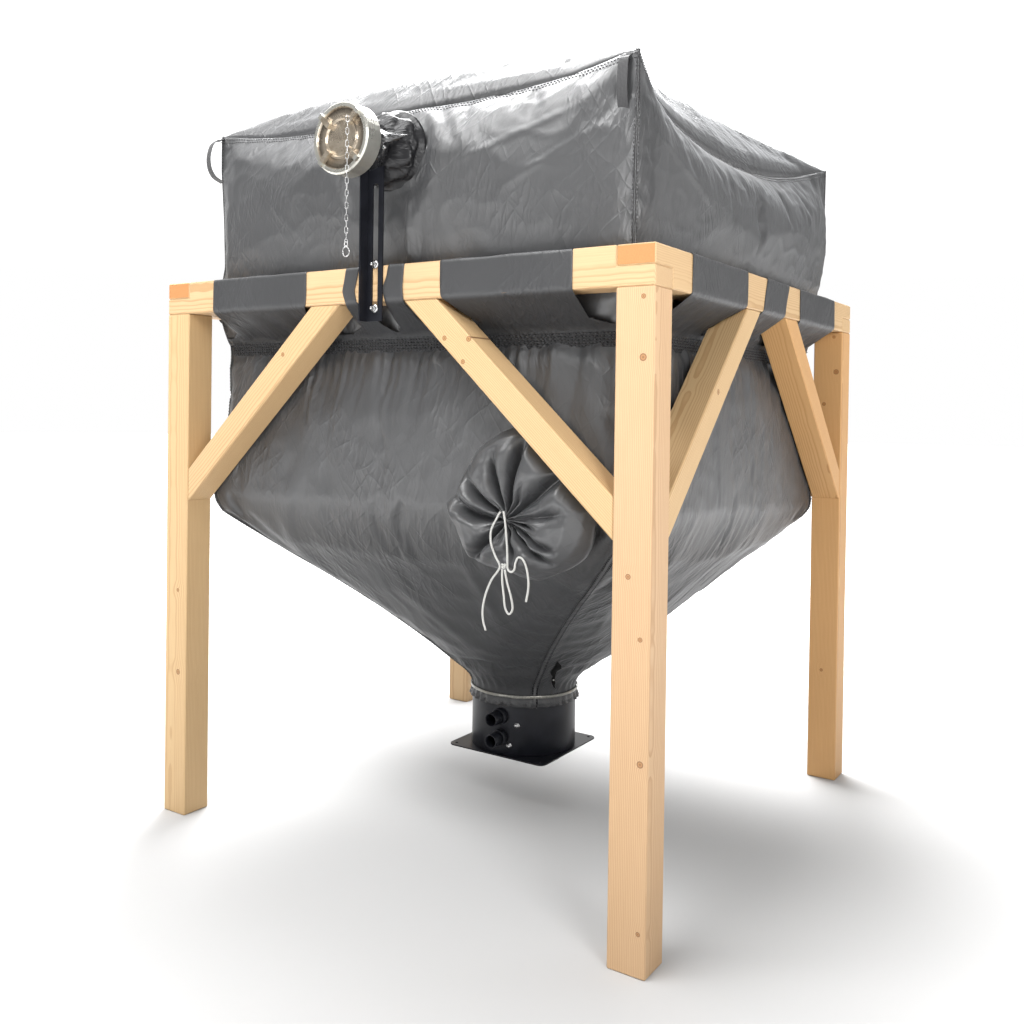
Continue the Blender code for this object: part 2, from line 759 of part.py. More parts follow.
def build_bracket(look):
    back = -HALF - TOUCH
    leg_x = ANGLE_LEFT + ANGLE_WALL
    top = FILLER_Z - PIPE_RADIUS - TOUCH - PIPE_CLIP_WALL / 2
    outline = [(ANGLE_LEFT, back), (ANGLE_LEFT, back - ANGLE_LEG), (leg_x, back - ANGLE_LEG),
               (leg_x, back - ANGLE_WALL), (ANGLE_RIGHT, back - ANGLE_WALL), (ANGLE_RIGHT, back)]
    angle = finish("filler_bracket", prism(outline, ANGLE_BOTTOM, top, upright), look)
    slot = prism(rounded_slot(SLOT_X, SLOT_BOTTOM, SLOT_TOP, SLOT_WIDTH), back - 0.010, back + 0.006,
                 along_y)
    combine(angle, finish("bracket_slot", slot, look), "DIFFERENCE")
    inside = PIPE_RADIUS + TOUCH
    outside = inside + PIPE_CLIP_WALL
    clip = [(inside, 0), (outside, 0), (outside, PIPE_CLIP_WIDTH), (inside, PIPE_CLIP_WIDTH)]
    combine(angle, finish("pipe_clip", lathe(clip, 32), look, **on_filler(back - ANGLE_WALL)), "UNION")
    bore = [(0, -0.03), (inside, -0.03), (inside, 0.06), (0, 0.06)]
    combine(angle, finish("clip_bore", lathe(bore, 32, ring=False), look, **on_filler(back)),
            "DIFFERENCE")


# Outlet

def build_housing(look):
    bottom = PLATE_BOTTOM + PLATE_THICKNESS + TOUCH
    inside = HOUSING_RADIUS - HOUSING_WALL
    wall = [(inside, bottom), (HOUSING_RADIUS, bottom), (HOUSING_RADIUS, HOUSING_TOP),
            (inside, HOUSING_TOP)]
    housing = finish("outlet_housing", lathe(wall, 4 * COLUMNS), look)
    boss = STUB_START - BOSS_END
    reach = STUB_START - STUB_END
    stub = [(0, 0), (BOSS_RADIUS, 0), (BOSS_RADIUS, boss), (STUB_RADIUS, boss), (STUB_RADIUS, reach),
            (0, reach)]
    bore = [(0, -0.02), (STUB_BORE, -0.02), (STUB_BORE, reach + 0.03), (0, reach + 0.03)]
    for kind, profile, operation in (("stub", stub, "UNION"), ("stub_bore", bore, "DIFFERENCE")):
        for number, height in enumerate(STUB_HEIGHTS):
            tool = finish(f"{kind}_{number}", lathe(profile, STUB_SEGMENTS, ring=False), look,
                          location=(STUB_X, STUB_START, height), rotation=(pi / 2, 0, 0))
            combine(housing, tool, operation)


def rounded_square(side, radius, steps=4):
    points = []
    middle = side / 2 - radius
    for quarter in range(4):
        at = pi / 4 + quarter * pi / 2
        x = middle * (1 if cos(at) > 0 else -1)
        y = middle * (1 if sin(at) > 0 else -1)
        for i in range(steps + 1):
            angle = quarter * pi / 2 + pi / 2 * i / steps
            points.append((x + radius * cos(angle), y + radius * sin(angle)))
    return points


def build_plate(look):
    body = prism(rounded_square(PLATE_SIDE, PLATE_CORNER), PLATE_BOTTOM, PLATE_BOTTOM + PLATE_THICKNESS,
                 upright)
    plate = finish("base_plate", body, look)
    reach = PLATE_SIDE / 2 - PLATE_HOLE_INSET
    holes = bmesh.new()
    for x in (-reach, reach):
        for y in (-reach, reach):
            at = Matrix.Translation((x, y, PLATE_BOTTOM))
            bmesh.ops.create_cone(holes, cap_ends=True, segments=12, radius1=PLATE_HOLE,
                                  radius2=PLATE_HOLE, depth=0.02, matrix=at)
    combine(plate, finish("plate_holes", holes, look), "DIFFERENCE")


def build_clamp(look):
    inside = NECK_RADIUS + TOUCH
    outside = inside + CLAMP_THICKNESS
    band = [(inside, CLAMP_BOTTOM), (outside, CLAMP_BOTTOM), (outside, CLAMP_TOP), (inside, CLAMP_TOP)]
    shade_round(finish("clamp_band", lathe(band, 4 * COLUMNS), look))


# Inspection sleeve and drawstring

def build_inspection_sleeve(look):
    edge = SLEEVE_X - SLEEVE_SEAT * SLEEVE_HALF_WIDTH
    wall = max(-lower_point(*row, atan2(edge, row[1])).y for row in LOWER_ROWS)
    back = -wall - TOUCH
    depth = back - TUFT_FRONT
    body = bmesh.new()
    loops = []
    for scale, out in (*SLEEVE_RINGS, (TUFT_SIZE, depth)):
        share = out / depth
        x = SLEEVE_X + (TUFT_X - SLEEVE_X) * share
        z = SLEEVE_Z + (TUFT_Z - SLEEVE_Z) * share
        loop = []
        for step in range(SLEEVE_SEGMENTS):
            angle = 2 * pi * step / SLEEVE_SEGMENTS
            across = SLEEVE_HALF_WIDTH * scale * cos(angle)
            up = SLEEVE_HALF_HEIGHT * scale * sin(angle)
            loop.append(body.verts.new((x + across, back - out, z + up)))
        loops.append(loop)
    body.faces.new(loops[0])
    body.faces.new(loops[-1])
    for here, there in zip(loops, loops[1:]):
        for i in range(SLEEVE_SEGMENTS):
            j = (i + 1) % SLEEVE_SEGMENTS
            body.faces.new((here[i], here[j], there[j], there[i]))
    shade_round(finish("inspection_sleeve", body, look))


def smooth_route(points, spacing):
    """Reads a smooth curve through the points at even steps of about the spacing."""
    ends = [2 * Vector(points[0]) - Vector(points[1])] + [Vector(p) for p in points]
    ends.append(2 * Vector(points[-1]) - Vector(points[-2]))
    fine = []
    for a, b, c, d in zip(ends, ends[1:], ends[2:], ends[3:]):
        for i in range(20):
            t = i / 20
            fine.append(0.5 * (2 * b + (c - a) * t + (2 * a - 5 * b + 4 * c - d) * t * t
                               + (3 * b - a - 3 * c + d) * t ** 3))
    fine.append(ends[-2])
    lengths = [0.0]
    for a, b in zip(fine, fine[1:]):
        lengths.append(lengths[-1] + (b - a).length)
    count = max(2, round(lengths[-1] / spacing))
    route = []
    for step in range(count + 1):
        target = lengths[-1] * step / count
        i = max(k for k in range(len(fine)) if lengths[k] <= target + 1e-9)
        j = min(i + 1, len(fine) - 1)
        share = (target - lengths[i]) / (lengths[j] - lengths[i]) if j > i else 0
        route.append(fine[i].lerp(fine[j], share))
    return route


def tube(name, route, radius, look):
    curve = bpy.data.curves.new(name, "CURVE")
    curve.dimensions = "3D"
    curve.bevel_depth = radius
    curve.bevel_resolution = 2
    curve.use_fill_caps = True
    curve.materials.append(look)
    spline = curve.splines.new("POLY")
    spline.points.add(len(route) - 1)
    for point, position in zip(spline.points, route):
        point.co = (*position, 1.0)
    return place(bpy.data.objects.new(name, curve))


def build_drawstring(look):
    spacing = CORD_RADIUS * 4.4
    for name, route in (("left", CORD_LEFT), ("right", CORD_RIGHT), ("loop", CORD_LOOP)):
        points = smooth_route([(x, CORD_Y, z) for x, z in route], spacing)
        tube(f"drawstring_{name}", points, CORD_RADIUS, look)
    knot = bmesh.new()
    bmesh.ops.create_uvsphere(knot, u_segments=14, v_segments=8, radius=KNOT_RADIUS)
    finish("drawstring_knot", knot, look, location=(KNOT_X, CORD_Y, KNOT_Z))


def main():
    clear_scene()
    looks = make_materials()
    build_posts(looks["spruce"])
    build_beams(looks["spruce"])
    build_braces(looks["spruce"])
    build_roof(looks["fabric"])
    build_upper_panels(looks["fabric"])
    build_lower_panels(looks["fabric"])
    build_hangers(looks["fabric"])
    build_loops(looks["webbing"])
    build_filler(looks["black steel"], looks["aluminium"], looks["fabric"])
    build_chain(looks["zinc"])
    build_bracket(looks["black steel"])
    build_housing(looks["black steel"])
    build_plate(looks["black steel"])
    build_clamp(looks["zinc"])
    build_inspection_sleeve(looks["fabric"])
    build_drawstring(looks["cord"])


main()
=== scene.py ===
"""Looks of a fabric pellet silo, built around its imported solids.

Metres, +Z up. The filler pipe comes out of the front, at -Y, and the timber frame's own
centre stands a little behind the origin. Each section makes one piece or one group of like
pieces, in the order in which the silo is put together.
"""
from math import cos, hypot, pi, radians, sin, sqrt, tan

import bmesh
import bpy
import numpy as np
from mathutils import Matrix, Vector
from mathutils.bvhtree import BVHTree
from mathutils.kdtree import KDTree


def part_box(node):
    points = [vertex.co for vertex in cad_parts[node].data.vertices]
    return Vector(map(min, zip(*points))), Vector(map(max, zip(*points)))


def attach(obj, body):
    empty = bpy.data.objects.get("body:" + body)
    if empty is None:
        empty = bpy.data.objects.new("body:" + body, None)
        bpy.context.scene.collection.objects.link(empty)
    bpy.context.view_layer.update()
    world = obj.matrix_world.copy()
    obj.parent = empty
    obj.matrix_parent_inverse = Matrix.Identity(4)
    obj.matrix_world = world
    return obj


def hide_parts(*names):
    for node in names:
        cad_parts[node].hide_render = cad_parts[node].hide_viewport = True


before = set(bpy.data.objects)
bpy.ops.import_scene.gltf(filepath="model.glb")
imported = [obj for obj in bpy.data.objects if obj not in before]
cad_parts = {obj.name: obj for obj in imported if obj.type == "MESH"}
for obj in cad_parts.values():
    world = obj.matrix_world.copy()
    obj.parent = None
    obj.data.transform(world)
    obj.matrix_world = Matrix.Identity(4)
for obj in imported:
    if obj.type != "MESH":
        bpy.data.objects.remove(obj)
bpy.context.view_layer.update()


# The view: a camera at chest height in front of the near corner, and a white studio
# The silo is seen from the front right, almost level, from just below its gathered band. A
# pale floor, a white room and soft lamps stand in for the cut-out white background; near the silo
# the floor is painted darker, as painted shade round its foot.
FRAME_Y = (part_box("post_front_left")[0].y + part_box("post_back_left")[1].y) / 2
CAMERA_PLACE = (1.7198, -2.8440 + FRAME_Y, 1.2392)
CAMERA_TURN = radians(35.13)
CAMERA_DIP = radians(-0.70)
CAMERA_ROLL = radians(0.75)
FOCAL_PIXELS = 1026.9
CENTRE_PIXEL = (456.5, 419.4)
PHOTO_SIDE = 1024
SENSOR = 36.0


def add_object(name, data):
    made = bpy.data.objects.new(name, data)
    bpy.context.scene.collection.objects.link(made)
    return made


def plain_mesh(name, made):
    mesh = bpy.data.meshes.new(name)
    made.to_mesh(mesh)
    made.free()
    return mesh


def make_camera():
    forward = Vector((-sin(CAMERA_TURN), cos(CAMERA_TURN), tan(CAMERA_DIP))).normalized()
    level = Vector((cos(CAMERA_TURN), sin(CAMERA_TURN), 0))
    above = level.cross(forward)
    right = cos(CAMERA_ROLL) * level + sin(CAMERA_ROLL) * above
    up = cos(CAMERA_ROLL) * above - sin(CAMERA_ROLL) * level
    data = bpy.data.cameras.new("camera")
    data.sensor_width = SENSOR
    data.lens = SENSOR * FOCAL_PIXELS / PHOTO_SIDE
    data.shift_x = (PHOTO_SIDE / 2 - CENTRE_PIXEL[0]) / PHOTO_SIDE
    data.shift_y = (CENTRE_PIXEL[1] - PHOTO_SIDE / 2) / PHOTO_SIDE
    data.clip_start = 0.05
    data.clip_end = 200
    camera = add_object("camera", data)
    turn = Matrix((right, up, -forward)).transposed().to_4x4()
    camera.matrix_world = Matrix.Translation(CAMERA_PLACE) @ turn
    bpy.context.scene.camera = camera


def node(tree, kind, inputs=(), **settings):
    """Adds a shader node; an input's value is a number, a colour or another node's output."""
    made = tree.nodes.new(kind)
    for name, value in settings.items():
        setattr(made, name, value)
    for name, value in dict(inputs).items():
        socket = made.inputs[name]
        if isinstance(value, bpy.types.NodeSocket):
            tree.links.new(value, socket)
        else:
            socket.default_value = value
    return made


def blended(tree, share, first, second, how="MIX"):
    """Mixes two colours by a share, each a number, a colour or a node's output."""
    made = node(tree, "ShaderNodeMix", {0: share, 6: first, 7: second}, data_type="RGBA", blend_type=how)
    return made.outputs[2]


def sums(tree, how, *values):
    """The result of one sum on numbers or on other nodes' outputs."""
    return node(tree, "ShaderNodeMath", dict(enumerate(values)), operation=how).outputs[0]


def vectors(tree, how, *values):
    """The result of one sum on places or directions: a number for a length or a dot product."""
    made = node(tree, "ShaderNodeVectorMath", dict(enumerate(values)), operation=how)
    return made.outputs["Value" if how in ("LENGTH", "DOT_PRODUCT") else "Vector"]


def where(tree, kind="Object"):
    return node(tree, "ShaderNodeTexCoord").outputs[kind]


def graded(tree, value, *stops):
    """A colour read off a row of (place, colour or grey) stops by a value."""
    made = node(tree, "ShaderNodeValToRGB", {"Fac": value})
    bar = made.color_ramp.elements
    while len(bar) < len(stops):
        bar.new(1.0)
    for mark, (place, colour) in zip(bar, stops):
        mark.position = place
        mark.color = (*(colour if isinstance(colour, tuple) else [colour] * 3), 1)
    return made.outputs[0]


def noise(tree, place, scale, detail=2.0, roughness=0.5):
    spots = {"Vector": place, "Scale": scale, "Detail": detail, "Roughness": roughness}
    return node(tree, "ShaderNodeTexNoise", spots).outputs[0]


def new_material(name, **shader_inputs):
    """A material with one Principled shader, whose inputs are set by name."""
    made = bpy.data.materials.new(name)
    made.use_nodes = True
    tree = made.node_tree
    tree.nodes.clear()
    shader = node(tree, "ShaderNodeBsdfPrincipled")
    node(tree, "ShaderNodeOutputMaterial", {"Surface": shader.outputs[0]}).is_active_output = True
    for name, value in shader_inputs.items():
        shader.inputs[name.replace("_", " ")].default_value = value
    return made, tree, shader


def make_floor():
    grid = bmesh.new()
    bmesh.ops.create_circle(grid, cap_ends=True, segments=64, radius=40)
    paint, tree, shader = new_material("studio_white", Roughness=0.9, Emission_Color=(1, 1, 1, 1))
    far = sums(tree, "DIVIDE", vectors(tree, "LENGTH", where(tree)), 10.0)
    # Near the silo the floor is darker and does not glow: painted shade round the silo's foot. Farther out
    # it glows to white.
    tone = graded(tree, far, (0.16, 0.46), (0.40, 0.95))
    tree.links.new(tone, shader.inputs["Base Color"])
    glow = graded(tree, far, (0.22, 0.0), (0.40, 0.75))
    tree.links.new(glow, shader.inputs["Emission Strength"])
    floor = add_object("studio_floor", plain_mesh("studio_floor", grid))
    floor.data.materials.append(paint)


def soft_lamp(name, place, target, size, power, colour=(1, 1, 1)):
    data = bpy.data.lights.new(name, "AREA")
    data.shape = "RECTANGLE"
    data.size, data.size_y = size
    data.energy = power
    data.color = colour
    lamp = add_object(name, data)
    lamp.location = place
    lamp.rotation_euler = (Vector(target) - Vector(place)).to_track_quat("-Z", "Y").to_euler()


def make_backdrop():
    """The room is white behind the silo and above it, and dim low down on the camera's side."""
    world = bpy.data.worlds.new("studio")
    world.use_nodes = True
    tree = world.node_tree
    away = (-sin(CAMERA_TURN), cos(CAMERA_TURN), 0.35)
    look_way = where(tree, "Generated")
    facing = vectors(tree, "DOT_PRODUCT", look_way, away)
    height = node(tree, "ShaderNodeSeparateXYZ", {0: look_way}).outputs["Z"]
    band = graded(tree, height, (0.18, 0.12), (0.50, 1.0), (0.75, 0.9), (0.95, 0.5))
    ends = graded(tree, sums(tree, "ABSOLUTE", facing), (0.15, 0.30), (0.60, 1.0))
    sky = blended(tree, 1.0, band, ends, "MULTIPLY")
    white = blended(tree, graded(tree, facing, (0.35, 0.0), (0.60, 1.0)), sky, (1, 1, 1, 1))
    beside = vectors(tree, "DOT_PRODUCT", look_way, (0.996, 0.087, 0))
    shade = graded(tree, beside, (0.0, 1.0), (0.12, 0.30))
    white = blended(tree, 1.0, white, shade, "MULTIPLY")
    tree.links.new(white, tree.nodes["Background"].inputs["Color"])
    lifted = graded(tree, height, (0.12, 0.0), (0.50, 1.0))
    tree.links.new(sums(tree, "MULTIPLY_ADD", lifted, 1.5, 1.0), tree.nodes["Background"].inputs["Strength"])
    bpy.context.scene.world = world


def make_studio():
    make_camera()
    make_floor()
    soft_lamp("key_lamp", (3.7, -3.0, 2.6), (0.3, -0.3, 1.2), (1.5, 1.5), 120)
    soft_lamp("sky_lamp", (-0.5, -2.6, 4.7), (0.1, -0.6, 1.9), (2.4, 1.6), 205)
    soft_lamp("back_lamp", (-0.9, 1.5, 4.9), (0, 0, 2.1), (3.0, 3.0), 800)
    soft_lamp("low_lamp", (-0.7, -3.6, 0.35), (0.1, -0.3, 0.6), (1.6, 0.6), 16)
    soft_lamp("right_lamp", (3.0, 1.7, 2.3), (0.7, -0.5, 1.4), (1.2, 1.6), 12)
    soft_lamp("side_lamp", (4.6, -2.0, 2.4), (0.4, -0.4, 1.1), (1.6, 1.8), 8, (1.0, 0.93, 0.85))
    make_backdrop()
    bpy.context.scene.view_settings.view_transform = "Standard"


make_studio()


# Drawstring: a braided polyester cord that ties off the mouth of the inspection sleeve
# One 5 mm cord runs round the gathered mouth and is tied in a single bow in front of it:
# two tails hang down, one of them over a small bow, and a loop hangs from the knot.
CORD_DIAMETER = 0.005
CORD_Y = -0.7768 + FRAME_Y
KNOT = Vector((0.408, CORD_Y, 0.861))
KNOT_RADIUS = 0.008
BRAID_LEAN = radians(38)
CORD_ROUTES = {
    "left": ((0.397, 0.990), (0.386, 0.972), (0.372, 0.945), (0.371, 0.915), (0.383, 0.885),
             (0.3974, 0.861), (0.391, 0.846), (0.373, 0.822), (0.357, 0.785), (0.350, 0.750),
             (0.352, 0.722), (0.360, 0.700)),
    "right": ((0.406, 0.992), (0.411, 0.965), (0.415, 0.930), (0.418, 0.895), (0.4189, 0.866),
              (0.4205, 0.854), (0.430, 0.8485), (0.4385, 0.856), (0.441, 0.871), (0.449, 0.885),
              (0.463, 0.880), (0.474, 0.855), (0.478, 0.820), (0.472, 0.783)),
    "loop": ((0.4045, 0.8527), (0.405, 0.825), (0.410, 0.790), (0.414, 0.762), (0.425, 0.748),
             (0.435, 0.762), (0.430, 0.790), (0.419, 0.822), (0.4115, 0.8527)),
}


def smooth_path(points, spacing):
    """Even steps along a smooth curve through the points."""
    marks = [Vector(p) for p in points]
    ends = [2 * marks[0] - marks[1], *marks, 2 * marks[-1] - marks[-2]]
    fine = []
    for a, b, c, d in zip(ends, ends[1:], ends[2:], ends[3:]):
        for i in range(20):
            t = i / 20
            bend = (2 * a - 5 * b + 4 * c - d) * t * t + (3 * b - a - 3 * c + d) * t ** 3
            fine.append(0.5 * (2 * b + (c - a) * t + bend))
    fine.append(ends[-2])
    line = np.array(fine)
    along = np.concatenate([[0], np.cumsum(np.linalg.norm(np.diff(line, axis=0), axis=1))])
    count = max(2, round(along[-1] / spacing))
    at = np.linspace(0, along[-1], count + 1)
    return [Vector(p) for p in np.stack([np.interp(at, along, line[:, k]) for k in range(3)], axis=1)]


def sweep(path, outline, closed=False):
    """Carries a closed outline of (across, up) points along a path, capped unless it closes."""
    made = bmesh.new()
    layer = made.loops.layers.uv.new("UVMap")
    count = len(path)
    rings = []
    travelled = [0.0]
    across = None
    for i, point in enumerate(path):
        before = path[i - 1] if i or closed else path[i]
        after = path[(i + 1) % count] if i < count - 1 or closed else path[i]
        along = (after - before).normalized()
        if across is None:
            side = Vector((0, 0, 1)) if abs(along.z) < 0.9 else Vector((0, 1, 0))
            across = along.cross(side).normalized()
        across = (across - along * across.dot(along)).normalized()
        up = along.cross(across)
        rings.append([made.verts.new(point + across * a + up * b) for a, b in outline])
        travelled.append(travelled[-1] + (after - point).length)
    size = len(outline)
    girth = [0.0]
    for (a, b), (c, d) in zip(outline, outline[1:] + outline[:1]):
        girth.append(girth[-1] + hypot(c - a, d - b))
    for i in range(count if closed else count - 1):
        here, there = rings[i], rings[(i + 1) % count]
        for k in range(size):
            m = (k + 1) % size
            face = made.faces.new((here[k], here[m], there[m], there[k]))
            face.smooth = True
            spots = ((k, i), (k + 1, i), (k + 1, i + 1), (k, i + 1))
            for loop, (g, t) in zip(face.loops, spots):
                loop[layer].uv = (girth[g], travelled[t])
    if not closed:
        made.faces.new(rings[0])
        made.faces.new(list(reversed(rings[-1])))
    bmesh.ops.recalc_face_normals(made, faces=made.faces)
    return made


def circle(radius, sides):
    return [(radius * cos(2 * pi * i / sides), radius * sin(2 * pi * i / sides)) for i in range(sides)]


def add_piece(name, mesh_data, look):
    """Makes a piece of the silo from a bmesh, in its place and riding on the one body."""
    piece = add_object(name, plain_mesh(name, mesh_data))
    piece.data.materials.append(look)
    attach(piece, "root")
    return piece


def stripes(tree, place, scale, across, **more):
    """Even bands that run across an axis of a pattern."""
    values = {"Vector": place, "Scale": scale, **more}
    return node(tree, "ShaderNodeTexWave", values, bands_direction=across).outputs["Fac"]


def mapped(tree, place, kind="POINT", **values):
    """A pattern's place, moved, turned or scaled."""
    return node(tree, "ShaderNodeMapping", {"Vector": place, **values}, vector_type=kind).outputs[0]


def add_relief(tree, shader, height, depth, strength=1.0):
    """Raises a material's surface by a height, on top of the relief that it has."""
    values = {"Height": height, "Strength": strength, "Distance": depth}
    if shader.inputs["Normal"].links:
        values["Normal"] = shader.inputs["Normal"].links[0].from_socket
    tree.links.new(node(tree, "ShaderNodeBump", values).outputs[0], shader.inputs["Normal"])


def cord_look():
    """Light grey braid: strands cross in a fine herringbone, a little fuzzy and soiled."""
    look, tree, shader = new_material("braided_cord", Roughness=0.8, Sheen_Weight=0.25, Sheen_Roughness=0.6)
    uv = where(tree, "UV")
    hands = [mapped(tree, uv, Rotation=(0, 0, lean)) for lean in (-BRAID_LEAN, BRAID_LEAN)]
    braid = sums(tree, "MAXIMUM", *[stripes(tree, hand, 260.0, "Y") for hand in hands])
    soil = sums(tree, "MULTIPLY", noise(tree, where(tree), 60.0, 3.0), 0.35)
    # The strands are pale and the grooves between them darker: painted shade in the braid's grooves.
    pale = graded(tree, braid, (0.2, (0.20, 0.20, 0.19)), (0.8, (0.46, 0.46, 0.44)))
    tree.links.new(blended(tree, soil, pale, (0.42, 0.41, 0.37, 1)), shader.inputs["Base Color"])
    add_relief(tree, shader, braid, 0.0004, 0.6)
    return look


def make_knot(look):
    """An overhand knot, drawn up tight: the cord crosses itself three times in a round."""
    squeezed = CORD_DIAMETER * 0.42
    reach = (KNOT_RADIUS - squeezed) / 3
    path = []
    for i in range(60):
        t = 2 * pi * i / 60
        away = Vector((sin(t) + 2 * sin(2 * t), -1.1 * sin(3 * t), cos(t) - 2 * cos(2 * t)))
        path.append(KNOT + reach * away)
    tube = sweep(path, circle(squeezed, 10), closed=True)
    knot = add_piece("drawstring_bow_knot", tube, look)
    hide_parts("drawstring_knot")
    return knot


drawstring_look = cord_look()


def make_drawstring():
    knot = make_knot(drawstring_look)
    exits = {"left": (0.397, CORD_Y, 0.990), "right": (0.406, CORD_Y, 0.992), "loop": tuple(KNOT)}
    for name, route in CORD_ROUTES.items():
        path = smooth_path([(x, CORD_Y, z) for x, z in route], CORD_DIAMETER * 0.5)
        tube = sweep(path, circle(CORD_DIAMETER / 2, 12))
        piece = add_piece(f"drawstring_{name}_cord", tube, drawstring_look)
        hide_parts(f"drawstring_{name}")
        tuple(exits[name])


make_drawstring()


# Timber frame: four posts, four lapped beams and eight knee braces of planed spruce
# The 93 mm square timber is sawn from the outer part of the log, so the growth rings run
# almost straight along each face, with a few round knots.
RING_SPACING = 0.0042
EARLY_WOOD = (0.51, 0.355, 0.195)
LATE_WOOD = (0.36, 0.215, 0.092)
KNOT_WOOD = (0.37, 0.20, 0.080)
END_GRAIN = (0.46, 0.225, 0.080)
KNOT_RADIUS_RANGE = (0.0055, 0.0095)
ORANGE_ENDS = ("beam_right", "beam_left")
# The back right post and its two braces stand in shade behind the bag: their darker, warmer tint is painted
# shade
SHADED_TIMBER = ("post_back_right", "brace_right_back", "brace_back_right")
# Where the knots are on each outer face, along X or Y and up
KNOTS = {
    "post_front_right": ((0.742, 0.873), (0.770, 1.352), (0.769, 1.484), (0.773, 0.739), (0.777, 0.468),
                         (0.778, 0.098)),
    "post_front_left": ((-0.740, 0.676), (-0.736, 0.429)),
    "post_back_right": ((0.745, 0.366), (0.739, 1.265), (0.768, 1.490), (0.777, 1.373)),
    "brace_right_back": ((0.003, 1.418),),
    "brace_front_left": ((-0.103, 1.468), (-0.120, 1.444), (-0.190, 1.389), (-0.314, 1.378)),
    "brace_front_right": ((0.238, 1.408), (0.310, 1.404), (0.294, 1.349)),
    "brace_right_front": ((-0.481, 1.415), (-0.413, 1.284)),
}


def grain_frame(node_name):
    """The direction of the grain and the middle of a piece of timber."""
    low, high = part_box(node_name)
    middle = (low + high) / 2
    if node_name.startswith("post"):
        return Vector((0, 0, 1)), middle
    if node_name.startswith("beam"):
        return (Vector((1, 0, 0)) if high.x - low.x > 1 else Vector((0, 1, 0))), middle
    out = middle - Vector((0, FRAME_Y, 0))
    slope = 0.560 / 0.595
    if abs(out.x) < abs(out.y):
        return Vector((-1 if out.x > 0 else 1, 0, slope)).normalized(), middle
    return Vector((0, -1 if out.y > 0 else 1, slope)).normalized(), middle


def nearest_knot(tree, place, name, draw):
    """How far a point is from the middle of the nearest knot, as a share of the knot's radius."""
    sideways = name.startswith(("brace_right", "brace_left"))
    level = Vector((0, 1, 1)) if sideways else Vector((1, 0, 1))
    share = None
    for along, height in KNOTS.get(name, ()):
        middle = Vector((0, along + FRAME_Y, height)) if sideways else Vector((along, 0, height))
        flat = vectors(tree, "MULTIPLY", vectors(tree, "SUBTRACT", place, middle), level)
        ratio = sums(tree, "DIVIDE", vectors(tree, "LENGTH", flat), draw.uniform(*KNOT_RADIUS_RANGE))
        share = ratio if share is None else sums(tree, "MINIMUM", share, ratio)
    return share if share is not None else sums(tree, "ADD", 9.0, 0.0)


def end_share(tree, place, name, along, middle):
    """1 on the sawn ends of a post or a beam, and 0 elsewhere."""
    low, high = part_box(name)
    half = abs((high - low).dot(along)) / 2
    far = vectors(tree, "DOT_PRODUCT", vectors(tree, "SUBTRACT", place, middle), along)
    return sums(tree, "GREATER_THAN", sums(tree, "ABSOLUTE", far), half - 0.0006)


